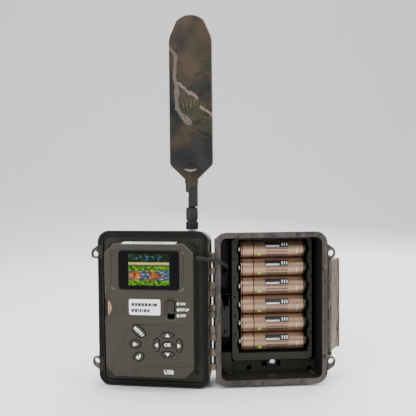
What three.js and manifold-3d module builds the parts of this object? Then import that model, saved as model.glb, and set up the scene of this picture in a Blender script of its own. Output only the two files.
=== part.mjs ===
// Cellular trail camera, opened like a book: battery half on the right, electronics half on the left.
// Millimetres, +Z up. Each half is drawn with its hinge axis at x = 0, its rim just behind y = 0
// and its depth towards +Y; the camera's own origin is on the tripod foot under the battery half.
import * as THREE from 'three';
import { mergeVertices } from 'three/addons/utils/BufferGeometryUtils.js';
import Module from 'manifold-3d';

const wasm = await Module();
wasm.setup();

// ---- driving dimensions ----
const GAP = 0.3;                    // clearance between neighbouring pieces
const OVER_OPEN = THREE.MathUtils.degToRad(14);   // the halves open this much past flat
const DRAFT = Math.tan(THREE.MathUtils.degToRad(5));

const RIM_Y = 0.15;                 // rim faces stand this far behind the hinge axis
const RIM_NEAR = 2;                 // hinge axis to the near edge of each rim
const RIM_WALL = 4.4;               // rim width
const RIM_RADIUS = 9;

const FRONT = { near: RIM_NEAR, far: 86.9, low: 0, high: 117, depth: 34 };
const REAR = { near: RIM_NEAR, far: 86.1, low: 1.8, high: 115.6, depth: 38 };

const FACE = -12;                   // the module's face stands in front of the rim
const FACE_WALL = 1.8;
const MODULE = { left: -77.8, right: -11.9, low: 11, high: 108.3, cut: 6.9 };
const BOARD_Y = -5;

const AA_RADIUS = 7.1;
const AA_BODY = 49.2;
const AA_LENGTH = 50.5;
const AA_PITCH = 14.35;
const AA_FIRST_Z = 29.6;
const AA_AXIS_Y = 24.2;
const CELLS = 6;
const CELL_X = 23.5;                // positive shoulder of each cell

const PIN_RADIUS = 0.75;
const KNUCKLE_RADIUS = 2.3;
const KNUCKLES = {
  front: [[15, 19.2], [36.6, 41.8], [53.4, 58], [69, 74.2], [85.7, 90.6]],
  rear: [[25.2, 30.6], [42.1, 47.4], [58.3, 63], [74.5, 79.7], [96.6, 101]],
};

const EAR_X = 88.8;
const EAR_HOLE = 2.2;
const EAR_THICK = 4;
const EARS = [{ z: 99.3, slope: 1 }, { z: 18.2, slope: -1 }];

const LATCH = { x: 89.2, y: 9, low: 23.4, high: 92.8, arm: 19.5, flare: THREE.MathUtils.degToRad(32) };
const CATCH = { reach: 0.7, y: [4.6, 8] };

const ANTENNA = { x: -17.3, y: 15, pinZ: 141, radius: 4.65, fold: 16.15 };
const STRAP = { low: 47, high: 74, near: 38, far: 42.6 };
const FOOT = { x: 44, y: 21, half: 13 };
const INSERT = { y: 28, outer: 4.6, bore: 3.2, depth: 8 };

// ---- geometry helpers ----
function toSolid(geometry) {
  const bare = geometry.clone();
  bare.deleteAttribute('normal');
  bare.deleteAttribute('uv');
  const merged = mergeVertices(bare, 1e-4);
  const vertProperties = new Float32Array(merged.attributes.position.array);
  const triVerts = new Uint32Array(merged.index.array);
  return new wasm.Manifold(new wasm.Mesh({ numProp: 3, vertProperties, triVerts }));
}

function toGeometry(solid) {
  const mesh = solid.getMesh();
  const geometry = new THREE.BufferGeometry();
  geometry.setAttribute('position', new THREE.BufferAttribute(mesh.vertProperties, 3));
  geometry.setIndex(new THREE.BufferAttribute(mesh.triVerts, 1));
  geometry.computeVertexNormals();
  return geometry;
}

function carve(base, { add = [], cut = [] }) {
  let solid = toSolid(base);
  for (const piece of add) solid = solid.add(toSolid(piece));
  for (const piece of cut) solid = solid.subtract(toSolid(piece));
  return toGeometry(solid);
}

function box([x0, x1], [y0, y1], [z0, z1]) {
  const geometry = new THREE.BoxGeometry(x1 - x0, y1 - y0, z1 - z0);
  return geometry.translate((x0 + x1) / 2, (y0 + y1) / 2, (z0 + z1) / 2);
}

function rodZ(radius, x, y, [z0, z1], sides = 16) {
  const geometry = new THREE.CylinderGeometry(radius, radius, z1 - z0, sides);
  return geometry.rotateX(Math.PI / 2).translate(x, y, (z0 + z1) / 2);
}

function rodY(radius, x, z, [y0, y1], sides = 16) {
  const geometry = new THREE.CylinderGeometry(radius, radius, y1 - y0, sides);
  return geometry.translate(x, (y0 + y1) / 2, z);
}

function rodX(radius, y, z, [x0, x1], sides = 16) {
  const geometry = new THREE.CylinderGeometry(radius, radius, x1 - x0, sides);
  return geometry.rotateZ(Math.PI / 2).translate((x0 + x1) / 2, y, z);
}

// A ring of points anticlockwise as seen from the front: a rectangle with rounded corners.
function roundedRing([x0, x1], [z0, z1], radius, steps = 5) {
  const corners = [[x1 - radius, z0 + radius], [x1 - radius, z1 - radius],
    [x0 + radius, z1 - radius], [x0 + radius, z0 + radius]];
  const ring = [];
  corners.forEach(([cx, cz], quarter) => {
    for (let i = 0; i <= steps; i++) {
      const angle = (quarter - 1 + i / steps) * Math.PI / 2;
      ring.push([cx + radius * Math.cos(angle), cz + radius * Math.sin(angle)]);
    }
  });
  return ring;
}

function ellipseRing(x, z, halfX, halfZ, turn = 0, steps = 20) {
  const ring = [];
  for (let i = 0; i < steps; i++) {
    const angle = i / steps * 2 * Math.PI;
    const a = halfX * Math.cos(angle);
    const b = halfZ * Math.sin(angle);
    ring.push([x + a * Math.cos(turn) - b * Math.sin(turn), z + a * Math.sin(turn) + b * Math.cos(turn)]);
  }
  return ring;
}

// Joins convex rings of equal length, listed from front to back as [y, ring], into one closed body.
function loft(sections) {
  const count = sections[0][1].length;
  const positions = sections.flatMap(([y, ring]) => ring.flatMap(([x, z]) => [x, y, z]));
  const index = [];
  const last = (sections.length - 1) * count;
  for (let i = 1; i < count - 1; i++) {
    index.push(0, i, i + 1);
    index.push(last, last + i + 1, last + i);
  }
  for (let s = 0; s < sections.length - 1; s++) {
    for (let i = 0; i < count; i++) {
      const a = s * count + i;
      const b = s * count + (i + 1) % count;
      index.push(a, b + count, b);
      index.push(a, a + count, b + count);
    }
  }
  const geometry = new THREE.BufferGeometry();
  geometry.setAttribute('position', new THREE.Float32BufferAttribute(positions, 3));
  geometry.setIndex(index);
  return geometry;
}

// A flat plate from any outline of [x, z] points, between two depths.
function plate(outline, [y0, y1]) {
  const shape = new THREE.Shape(outline.map(([x, z]) => new THREE.Vector2(x, z)));
  const geometry = new THREE.ExtrudeGeometry(shape, { depth: y1 - y0, bevelEnabled: false });
  return geometry.rotateX(Math.PI / 2).translate(0, y1, 0);
}

// A prism along Z from an outline of [x, y] points.
function column(outline, [z0, z1]) {
  const shape = new THREE.Shape(outline.map(([x, y]) => new THREE.Vector2(x, y)));
  const geometry = new THREE.ExtrudeGeometry(shape, { depth: z1 - z0, bevelEnabled: false });
  return geometry.translate(0, 0, z0);
}

// ---- materials ----
function paint(color, roughness, metalness = 0) {
  return new THREE.MeshStandardMaterial({ color, roughness, metalness });
}

const camo = paint(0x5b4f40, 0.6);
const olive = paint(0x47453b, 0.65);
const darkOlive = paint(0x24241d, 0.6);
const black = paint(0x141414, 0.5);
const rubber = paint(0x0d0d0d, 0.85);
const steel = paint(0xb9bbbe, 0.25, 1);
const brass = paint(0xb08a3c, 0.3, 1);
const nickel = paint(0x9c9a92, 0.35, 1);
const label = paint(0x9a7b62, 0.4);
const glass = paint(0x050607, 0.08);
const screenBlue = paint(0x4a6a3c, 0.3);
const board = paint(0x1d4a2b, 0.5);
const white = paint(0xe8e6de, 0.5);

const frontCase = new THREE.Group();
const rearCase = new THREE.Group();

function put(group, name, geometry, material) {
  const mesh = new THREE.Mesh(geometry, material);
  mesh.name = name;
  group.add(mesh);
  return mesh;
}

// ---- the two shells ----
// `side` is +1 for the half that reaches to +X from the hinge and -1 for the other.
function span(side, near, far) {
  return side > 0 ? [near, far] : [-far, -near];
}

function outerShell(half, side) {
  const ring = (inset, radius) => roundedRing(
    span(side, half.near + inset, half.far - inset), [half.low + inset, half.high - inset], radius, 6);
  const edge = 5;
  const shoulder = half.depth - edge;
  const inset = shoulder * DRAFT;
  return loft([
    [RIM_Y, ring(0, RIM_RADIUS)],
    [shoulder, ring(inset, RIM_RADIUS)],
    [half.depth - edge * 0.3, ring(inset + edge * 0.3, RIM_RADIUS)],
    [half.depth, ring(inset + edge * 0.85, RIM_RADIUS - 1.5)],
  ]);
}

function hollow(half, side, [y0, y1]) {
  const ring = (inset, radius) => roundedRing(
    span(side, half.near + inset, half.far - inset), [half.low + inset, half.high - inset], radius, 4);
  const taper = 3;
  const deep = RIM_WALL + 0.8;
  return loft([[y0, ring(RIM_WALL, 3.5)], [y1 - taper, ring(deep, 6)], [y1, ring(deep + taper, 6)]]);
}

function ear(side, { z, slope }) {
  const outline = [[82, -3], [86, -3.2], [EAR_X + 0.4, -3.3], [EAR_X + 2.5, -2.4], [EAR_X + 3.1, -0.4],
    [EAR_X + 3.1, 2.6], [EAR_X + 1.8, 4.2], [86, 7], [82, 7]];
  const placed = outline.map(([x, dz]) => [side * x, z + slope * dz]);
  if (side * slope < 0) placed.reverse();
  return plate(placed, [RIM_Y, RIM_Y + EAR_THICK]);
}

function knuckles(side, spans) {
  const web = RIM_NEAR + 1;
  return spans.flatMap(([low, high]) => [
    rodZ(KNUCKLE_RADIUS, 0, 0, [low, high]),
    box(span(side, 0, web), [0.4, KNUCKLE_RADIUS - 0.05], [low, high]),
  ]);
}

function knuckleReliefs(spans) {
  return spans.map(([low, high]) => rodZ(KNUCKLE_RADIUS + GAP, 0, 0, [low - GAP, high + GAP]));
}

const hingeBore = rodZ(PIN_RADIUS + 0.2, 0, 0, [10, 106]);
const earHoles = (side) => EARS.map(({ z }) => rodY(EAR_HOLE, side * EAR_X, z, [-1, 8], 14));

// The gasket channel runs round the electronics half's rim.
function rimRing(inset, radius) {
  const x = span(-1, FRONT.near + inset, FRONT.far - inset);
  return roundedRing(x, [FRONT.low + inset, FRONT.high - inset], radius, 6);
}

function rimBand([outer, inner], [y0, y1]) {
  const around = loft([[y0, rimRing(outer, RIM_RADIUS - outer)], [y1, rimRing(outer, RIM_RADIUS - outer)]]);
  const within = loft([[y0 - 1, rimRing(inner, RIM_RADIUS - inner)], [y1 + 1, rimRing(inner, RIM_RADIUS - inner)]]);
  return carve(around, { cut: [within] });
}

const frontMid = -(FRONT.near + FRONT.far) / 2;
const LENS = { z: 71, radius: 8.4 };
const PIR = { z: 36, radius: 12 };
const IR = { half: 27, low: 86, high: 105 };
const LAMP_Z = 55;
const LEDGE = { front: 3.6, back: 6 };

const frontBosses = [[-78.3, 106], [-11.2, 106], [-11.2, 12], [-78.3, 12]];

const frontShell = carve(outerShell(FRONT, -1), {
  add: [
    ...EARS.map((place) => ear(-1, place)),
    box([-FRONT.far - CATCH.reach, -FRONT.far + 4], CATCH.y, [30, 86]),
  ],
  cut: [
    hollow(FRONT, -1, [-1, FRONT.depth - 2.4]),
    rimBand([1.3, 4.1], [-1, 2.8]),
    rodZ(3.2 + GAP, ANTENNA.x, ANTENNA.y, [108, 120]),
    rodY(LENS.radius + GAP, frontMid, LENS.z, [30, 36], 24),
    rodY(PIR.radius + GAP, frontMid, PIR.z, [30, 36], 24),
    rodY(1.5, frontMid, LAMP_Z, [30, 36], 10),
    plate(roundedRing([frontMid - IR.half, frontMid + IR.half], [IR.low, IR.high], 4), [30, 36]),
    ...earHoles(-1),
    ...knuckleReliefs(KNUCKLES.rear),
  ],
});
const frontPosts = frontBosses.map(([x, z]) => carve(rodY(3.2, x, z, [LEDGE.front, FRONT.depth - 2], 10), {
  cut: [rodY(1.4, x, z, [LEDGE.front - 1, LEDGE.front + 9], 8)],
}));
put(frontCase, 'front_shell', carve(frontShell, {
  add: [...knuckles(-1, KNUCKLES.front), ...frontPosts],
  cut: [hingeBore],
}), camo);
put(frontCase, 'rim_gasket', rimBand([1.3 + GAP, 4.1 - GAP], [RIM_Y, 2.8 - GAP]), rubber);

// ---- electronics module: cover, screws, window ----
const DISPLAY = { left: -66.9, right: -22.8, low: 75.3, high: 102.8 };
const SWITCH = { left: -31.2, right: -25.7, low: 53.9, high: 67.5, knobLow: 58.4, knobHigh: 67.2 };
const CARD = { z: 60.2, half: 12, length: 32, x: -77.5, y: -6, thick: 2.1 };
const USB = { x: -30.6, half: 4.2, y: -7.5 };
const LEAD = { z: 97.4, y: -6.2, radius: 1.3 };

const KEYS = {
  menu_key: ellipseRing(-52.3, 44.5, 5.6, 3.2, -0.72),
  play_key: ellipseRing(-55, 35.2, 4, 3),
  back_key: ellipseRing(-52.7, 25.9, 4, 3, 0.5),
  up_key: ellipseRing(-31.1, 42.2, 4.7, 2),
  down_key: ellipseRing(-31.1, 28.4, 4.7, 2),
  left_key: ellipseRing(-39.2, 34.9, 2.3, 4.9),
  right_key: ellipseRing(-22.6, 34.9, 2.3, 4.9),
  ok_key: ellipseRing(-31, 35.2, 3.9, 2.2),
};

function grow(ring, amount) {
  const cx = ring.reduce((sum, [x]) => sum + x, 0) / ring.length;
  const cz = ring.reduce((sum, [, z]) => sum + z, 0) / ring.length;
  return ring.map(([x, z]) => {
    const reach = Math.hypot(x - cx, z - cz);
    return [cx + (x - cx) * (1 + amount / reach), cz + (z - cz) * (1 + amount / reach)];
  });
}

// The module's outline is a rectangle with its four corners cut at an angle.
function moduleRing(out) {
  const { left, right, low, high, cut } = MODULE;
  const c = cut + out * 0.6;
  const [x0, x1, z0, z1] = [left - out, right + out, low - out, high + out];
  return [[x1 - c, z0], [x1, z0 + c], [x1, z1 - c], [x1 - c, z1], [x0 + c, z1], [x0, z1 - c],
    [x0, z0 + c], [x0 + c, z0]];
}

const flangeRing = roundedRing([-82.1, -6.8], [4.8, 112.2], 4, 4);
const fingerNotch = rodY(9.1, -84.6, CARD.z, [FACE - 2, -3.4], 24);
const moduleBody = carve(plate(flangeRing, [1.2, 3.2]), {
  add: [loft([[FACE, moduleRing(0)], [2, moduleRing(1.3)]])],
  cut: [
    loft([[FACE + FACE_WALL, moduleRing(-FACE_WALL)], [4, moduleRing(-0.6)]]),
    plate(roundedRing([DISPLAY.left - GAP, DISPLAY.right + GAP], [DISPLAY.low - GAP, DISPLAY.high + GAP], 2),
      [FACE - 1, FACE + 3]),
    box([SWITCH.left, SWITCH.right], [FACE - 1, FACE + 3], [SWITCH.low, SWITCH.high]),
    ...Object.values(KEYS).map((ring) => plate(grow(ring, GAP), [FACE - 1, FACE + 3])),
    fingerNotch,
    box([-82, -70], [CARD.y - GAP, CARD.y + CARD.thick + GAP], [CARD.z - 12.4, CARD.z + 12.4]),
    box([USB.x - USB.half, USB.x + USB.half], [USB.y - 2.2, USB.y + 2.2], [5, 14]),
    rodX(LEAD.radius + 0.4, LEAD.y, LEAD.z, [-16, -8], 10),
    ...frontBosses.map(([x, z]) => rodY(1.5, x, z, [0, 4], 10)),
  ],
});
put(frontCase, 'module_cover', moduleBody, olive);

frontBosses.forEach(([x, z], i) => {
  const screw = carve(rodY(1.1, x, z, [0.5, 9], 8), {
    add: [rodY(2.2, x, z, [-0.6, 0.9], 12)],
    cut: [box([x - 1.3, x + 1.3], [-1, -0.1], [z - 0.3, z + 0.3])],
  });
  put(frontCase, `module_screw_${i + 1}`, screw, black);
});

put(frontCase, 'display_window', plate(
  roundedRing([DISPLAY.left, DISPLAY.right], [DISPLAY.low, DISPLAY.high], 1.8), [FACE + 0.1, FACE + 1.3]), glass);
put(frontCase, 'lcd_panel', box([-63, -26], [FACE + 1.7, FACE + 4], [76.8, 101.4]), screenBlue);

const boardOutline = roundedRing([-74.8, -14.8], [14.4, 104.8], 7, 3);
put(frontCase, 'main_board', carve(plate(boardOutline, [BOARD_Y + 3, BOARD_Y + 4.6]), {
  add: [
    box([-70, -56], [BOARD_Y + 4.5, BOARD_Y + 6.5], [40, 54]),
    box([-46, -22], [BOARD_Y + 4.5, BOARD_Y + 7.5], [60, 88]),
    box([-64, -58], [BOARD_Y + 4.5, BOARD_Y + 6], [70, 78]),
  ],
}), board);
put(frontCase, 'key_membrane', plate(roundedRing([-62, -16], [19, 51], 4, 3), [FACE + 4.1, FACE + 4.9]), rubber);

for (const [name, ring] of Object.entries(KEYS)) {
  put(frontCase, name, loft([
    [FACE - 0.9, grow(ring, -0.7)],
    [FACE - 0.5, ring],
    [FACE + 3.2, ring],
  ]), olive);
}

put(frontCase, 'switch_knob', carve(
  box([SWITCH.left + GAP, SWITCH.right - GAP], [FACE - 0.5, FACE + 3], [SWITCH.knobLow, SWITCH.knobHigh]), {
    add: [box([SWITCH.left - 1, SWITCH.right + 1], [FACE + 2.1, FACE + 4], [SWITCH.knobLow - 1, SWITCH.knobHigh])],
    cut: [0, 1, 2, 3].map((i) => box([-32, -24], [FACE - 1, FACE - 0.1],
      [SWITCH.knobLow + 1.4 + i * 1.8, SWITCH.knobLow + 2.1 + i * 1.8])),
  }), black);

// The memory card has the usual cut corner and slides out to the left.
const cardEnd = CARD.x + CARD.length;
const cardOutline = [[CARD.x, CARD.z - CARD.half], [cardEnd, CARD.z - CARD.half],
  [cardEnd, CARD.z + CARD.half - 4], [cardEnd - 4, CARD.z + CARD.half], [CARD.x, CARD.z + CARD.half]];
put(frontCase, 'memory_card', plate(cardOutline, [CARD.y, CARD.y + CARD.thick]), black);
put(frontCase, 'card_socket', carve(
  box([-74.5, cardEnd + 1.6], [CARD.y - 0.8, CARD.y + 3.6], [CARD.z - 13.4, CARD.z + 13.4]), {
    cut: [box([-76, cardEnd + GAP], [CARD.y - GAP, CARD.y + CARD.thick + GAP],
      [CARD.z - CARD.half - GAP, CARD.z + CARD.half + GAP])],
  }), nickel);
put(frontCase, 'usb_port', carve(
  box([USB.x - USB.half + GAP, USB.x + USB.half - GAP], [USB.y - 1.9, USB.y + 1.9], [10.4, 18.4]), {
    cut: [box([USB.x - 3.2, USB.x + 3.2], [USB.y - 1.3, USB.y + 1.3], [9, 16])],
  }), nickel);

// ---- optics on the outer face ----
const outside = FRONT.depth;
put(frontCase, 'lens_barrel', carve(rodY(LENS.radius, frontMid, LENS.z, [18, outside + 2.2], 28), {
  cut: [rodY(6.4, frontMid, LENS.z, [26, outside + 4], 28)],
}), black);
put(frontCase, 'lens_glass', rodY(6.1, frontMid, LENS.z, [outside - 1.2, outside + 0.4], 28), glass);
put(frontCase, 'pir_lens', carve(
  new THREE.SphereGeometry(PIR.radius, 24, 16).scale(1, 0.55, 1).translate(frontMid, outside - 1, PIR.z), {
    cut: [box([-90, 0], [0, outside - 2], [0, 80])],
  }), white);
put(frontCase, 'status_lamp', rodY(1.2, frontMid, LAMP_Z, [outside - 3, outside + 0.3], 10), glass);
put(frontCase, 'ir_window', plate(roundedRing(
  [frontMid - IR.half + GAP, frontMid + IR.half - GAP], [IR.low + GAP, IR.high - GAP], 4),
[outside - 1.8, outside - 0.2]), glass);

// The infrared emitters stand on their own board behind the window.
const emitters = [];
for (let row = 0; row < 3; row++) {
  for (let i = 0; i < 9; i++) {
    const [x, z] = [frontMid + (i - 4) * 5.8, IR.low + 4 + row * 5.6];
    emitters.push(rodY(1.5, x, z, [outside - 4.8, outside - 2.4], 8));
  }
}
put(frontCase, 'emitter_board', carve(
  box([frontMid - IR.half + 1, frontMid + IR.half - 1], [outside - 6.2, outside - 4.7], [IR.low + 1, IR.high - 1]),
  { add: emitters }), board);

// ---- antenna: jack, nut, swivel base, cross pin, blade ----
const [AX, AY] = [ANTENNA.x, ANTENNA.y];
const topZ = FRONT.high;

function turned(profile, sides = 20) {
  const points = profile.map(([r, z]) => new THREE.Vector2(r, z));
  return new THREE.LatheGeometry(points, sides).rotateX(Math.PI / 2).translate(AX, AY, 0);
}

put(frontCase, 'antenna_jack', turned(
  [[0, 109.4], [5, 109.4], [5, 111.7], [3.2, 111.7], [3.2, topZ + 4], [0, topZ + 4]]), brass);
const nut = turned([[3.5, topZ + 0.3], [4.3, topZ + 0.3], [4.7, topZ + 0.9], [4.7, topZ + 5.4], [4.3, topZ + 6],
  [3.5, topZ + 6], [3.5, topZ + 0.3]], 24);
put(frontCase, 'antenna_nut', nut, black);

const base = { low: topZ + 6.3, neck: topZ + 7.2, high: topZ + 16.6 };
const tongueHalf = 1.3;
const swivel = carve(turned([[0, base.low], [4, base.low], [4, base.neck], [ANTENNA.radius - 0.1, base.neck + 0.6],
  [ANTENNA.radius - 0.1, base.high - 0.5], [ANTENNA.radius - 0.5, base.high], [0, base.high]]), {
  add: [
    box([AX - 2.6, AX + 2.6], [AY - tongueHalf, AY + tongueHalf], [base.high - 1, ANTENNA.pinZ]),
    rodY(2.6, AX, ANTENNA.pinZ, [AY - tongueHalf, AY + tongueHalf]),
  ],
  cut: [rodY(1.1, AX, ANTENNA.pinZ, [AY - 4, AY + 4], 12)],
});
put(frontCase, 'antenna_base', swivel, black);
put(frontCase, 'antenna_pin', rodY(0.9, AX, ANTENNA.pinZ, [AY - 4.4, AY + 4.4], 12), steel);

// The fork's slot is open below and on the side the blade folds to.
const forkLow = base.high + 0.7;
const neckTop = ANTENNA.pinZ + 13.5;
const bladeTop = topZ + 159.6;
const R = ANTENNA.radius;
const bladeOutline = [[-R, neckTop - 1], [R, neckTop - 1], [R, neckTop], [ANTENNA.fold, neckTop + 10.9],
  [ANTENNA.fold, bladeTop - 17], [ANTENNA.fold - 5.2, bladeTop - 4.6]];
const crown = 6;
for (let i = 0; i <= crown; i++) {
  const angle = (0.25 + 0.5 * i / crown) * Math.PI;
  bladeOutline.push([14.6 * Math.cos(angle), bladeTop - 14.6 + 14.6 * Math.sin(angle)]);
}
bladeOutline.push([-ANTENNA.fold + 5.2, bladeTop - 4.6], [-ANTENNA.fold, bladeTop - 17],
  [-ANTENNA.fold, neckTop + 10.9], [-R, neckTop]);
const bladeHalf = 4;
const bladePlate = plate(bladeOutline.map(([x, z]) => [AX + x, z]), [AY - bladeHalf, AY + bladeHalf]);
const slot = [AY - tongueHalf - GAP, AY + tongueHalf + GAP];
put(frontCase, 'antenna_blade', carve(turned([[0, forkLow], [R, forkLow], [R, neckTop + 4], [0, neckTop + 7]]), {
  add: [bladePlate],
  cut: [
    box([AX - R - 1, AX + 2.9], slot, [forkLow - 1, ANTENNA.pinZ + 2.9]),
    box([AX - R - 1, AX - 1.6], [AY - R - 1, AY + R + 1], [forkLow - 1, ANTENNA.pinZ + 3.4]),
    rodY(1.1, AX, ANTENNA.pinZ, [AY - 6, AY + 6], 12),
  ],
}), camo);

// ---- rear half ----
const rearMid = (REAR.near + REAR.far) / 2;
const rearBack = REAR.depth;
const ribs = [[16, 24], [64, 72]];
const trayBox = { x: [16.3, 78], z: [16.4, 109.6], y: [16, 33] };
const trayScrew = [46.9, 15];
const shelf = { low: 4, high: 14.6, y: 22 };
const sideBlock = { x: [5, 16], z: [5, 23], y: 17 };
const conduit = { x: [8, 14.9], z: [34.6, 67.4], y: [18, 20] };
const conduitHoles = [[12.2, 56.8], [12.2, 38.2]];
const blockHole = [11, 8.8];
const shelfHoles = [[30, 9.2], [77.3, 7]];
const hingeGuard = { x: [-1, 3], y: [2.75, 3.6], z: [15.4, 100.6] };
const latchLugs = [[23.8 - 3.2, 23.1], [93.1, 95.6]];

const rearOpen = carve(outerShell(REAR, 1), {
  add: [
    ...EARS.map((place) => ear(1, place)),
    ...ribs.map((x) => box(x, [rearBack - 2, rearBack + 6], [22, 95])),
    box([FOOT.x - FOOT.half, FOOT.x + FOOT.half], [FOOT.y - FOOT.half, FOOT.y + FOOT.half], [0, 5]),
    ...latchLugs.flatMap((z) => [
      rodZ(2.3, LATCH.x, LATCH.y, z, 14),
      box([82, LATCH.x], [LATCH.y - 2.2, LATCH.y + 2.2], z),
    ]),
  ],
  cut: [
    hollow(REAR, 1, [-1, rearBack - 2.4]),
    ...earHoles(1),
    ...knuckleReliefs(KNUCKLES.front),
    ...ribs.map((x) => box([x[0] - 1, x[1] + 1], [STRAP.near, STRAP.far], [STRAP.low, STRAP.high])),
    rodZ(1.2, LATCH.x, LATCH.y, [18, 98], 12),
  ],
});
put(rearCase, 'rear_shell', carve(rearOpen, {
  add: [
    ...knuckles(1, KNUCKLES.rear),
    box([14, 83], [shelf.y, rearBack - 1], [shelf.low, shelf.high]),
    box(sideBlock.x, [sideBlock.y, rearBack - 1], sideBlock.z),
    ...conduitHoles.map(([x, z]) => rodY(2.4, x, z, [conduit.y[1] + GAP, rearBack - 1], 10)),
    rodY(3, trayScrew[0], trayScrew[1], [trayBox.y[1] + GAP, rearBack - 1], 12),
    box(hingeGuard.x, hingeGuard.y, hingeGuard.z),
  ],
  cut: [
    hingeBore,
    ...conduitHoles.map(([x, z]) => rodY(1.2, x, z, [15, 28], 8)),
    rodY(1.2, blockHole[0], blockHole[1], [10, 26], 8),
    ...shelfHoles.map(([x, z]) => rodY(2, x, z, [20, 30], 12)),
    box([39.9, 54.3], [20, 30], [10.2, 16]),
    rodY(1.2, trayScrew[0], trayScrew[1], [28, 35.8], 8),
    rodZ(INSERT.outer + 0.1, FOOT.x, INSERT.y, [-1, INSERT.depth + GAP], 16),
  ],
}), camo);

put(rearCase, 'tripod_insert', carve(rodZ(INSERT.outer - 0.2, FOOT.x, INSERT.y, [0.2, INSERT.depth], 16), {
  cut: [rodZ(INSERT.bore, FOOT.x, INSERT.y, [-1, INSERT.depth - 1], 16)],
}), brass);
put(rearCase, 'hinge_pin', rodZ(PIN_RADIUS, 0, 0, [15.4, 100.6], 16), steel);

// ---- battery tray and cells ----
const cellZ = (i) => AA_FIRST_Z + i * AA_PITCH;
const cellPockets = [];
for (let i = 0; i < CELLS; i++) {
  cellPockets.push(rodX(AA_RADIUS + GAP, AA_AXIS_Y, cellZ(i), [CELL_X - 3.4, CELL_X + AA_BODY + 1.6], 16));
}
const TONGUE = { x: [43.4, 50.8], z: [11.4, 17], y: [18, 21.6] };
put(rearCase, 'battery_tray', carve(plate(roundedRing(trayBox.x, trayBox.z, 4, 3), trayBox.y), {
  add: [box(TONGUE.x, TONGUE.y, TONGUE.z)],
  cut: [
    ...cellPockets,
    box([CELL_X - 3.4, CELL_X + AA_BODY + 1.6], [10, AA_AXIS_Y], [cellZ(0) - 7.4, cellZ(5) + 7.4]),
    rodY(1.4, trayScrew[0], trayScrew[1], [15, 24], 10),
    rodY(2.5, trayScrew[0], trayScrew[1], [15, 18], 14),
  ],
}), darkOlive);
put(rearCase, 'tray_screw', carve(rodY(1.1, trayScrew[0], trayScrew[1], [16, 35.4], 8), {
  add: [rodY(2.2, trayScrew[0], trayScrew[1], [15.6, 17.7], 14)],
  cut: [box([trayScrew[0] - 3, trayScrew[0] + 3], [15, 16.2], [trayScrew[1] - 0.35, trayScrew[1] + 0.35])],
}), steel);

for (let i = 0; i < CELLS; i++) {
  const profile = [[0, 0], [AA_RADIUS - 0.4, 0], [AA_RADIUS, 0.5], [AA_RADIUS, AA_BODY - 0.5],
    [AA_RADIUS - 0.8, AA_BODY], [2.7, AA_BODY], [2.7, AA_LENGTH], [0, AA_LENGTH]];
  const cell = new THREE.LatheGeometry(profile.map(([r, h]) => new THREE.Vector2(r, h)), 20);
  cell.rotateZ(Math.PI / 2).translate(CELL_X + AA_BODY, AA_AXIS_Y, cellZ(i));
  put(rearCase, `battery_${i + 1}`, cell, label);
}
const contactZ = [cellZ(0) - 5, cellZ(5) + 5];
const contactY = [AA_AXIS_Y - 4.5, AA_AXIS_Y - 0.3];
put(rearCase, 'contact_strip_positive', box([CELL_X - 3, CELL_X - 2], contactY, contactZ), nickel);
const springs = [];
for (let i = 0; i < CELLS; i++) {
  springs.push(rodX(2.2, AA_AXIS_Y, cellZ(i), [CELL_X + AA_BODY + 0.2, CELL_X + AA_BODY + 1], 10));
}
put(rearCase, 'contact_strip_negative', carve(
  box([CELL_X + AA_BODY + 0.8, CELL_X + AA_BODY + 1.4], contactY, contactZ),
  { add: springs }), nickel);

put(rearCase, 'conduit_cover', carve(box(conduit.x, conduit.y, conduit.z), {
  cut: conduitHoles.map(([x, z]) => rodY(1.5, x, z, [15, 22], 10)),
}), darkOlive);
function smallScrew(x, z, y) {
  return carve(rodY(1, x, z, [y, y + 6], 8), { add: [rodY(2, x, z, [y - 1.2, y + 0.2], 12)] });
}
put(rearCase, 'conduit_screw_upper', smallScrew(...conduitHoles[0], conduit.y[0] - 0.5), black);
put(rearCase, 'conduit_screw_lower', smallScrew(...conduitHoles[1], conduit.y[0] - 0.5), black);
put(rearCase, 'block_screw', smallScrew(...blockHole, sideBlock.y - 0.5), black);

// ---- latch: swings on a pin beside the battery half and hooks the other half's ledge ----
// At rest it is folded back, flared away from the side wall; its hook faces outwards until it swings over.
const latchOutline = [[-1.3, 0], [1.2, 0], [1.2, LATCH.arm - 2], [2.8, LATCH.arm - 1.6], [2.8, LATCH.arm - 0.2],
  [0.9, LATCH.arm + 0.4], [-1.2, LATCH.arm + 1.2], [-4, LATCH.arm + 2.6], [-4.4, LATCH.arm + 1.4],
  [-1.6, LATCH.arm - 0.8]].map(([x, y]) => [
  LATCH.x + x * Math.cos(LATCH.flare) + y * Math.sin(LATCH.flare),
  LATCH.y - x * Math.sin(LATCH.flare) + y * Math.cos(LATCH.flare)]);
put(rearCase, 'latch_lever', carve(rodZ(2.3, LATCH.x, LATCH.y, [LATCH.low, LATCH.high], 16), {
  add: [column(latchOutline, [LATCH.low, LATCH.high])],
  cut: [rodZ(1.2, LATCH.x, LATCH.y, [18, 98], 12)],
}), camo);
put(rearCase, 'latch_pin', rodZ(0.9, LATCH.x, LATCH.y, [20.8, 95.4], 12), steel);

// ---- power lead across the hinge ----
const camera = new THREE.Group();
const open = new THREE.Group();
frontCase.rotation.z = -OVER_OPEN;
open.add(frontCase, rearCase);

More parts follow.
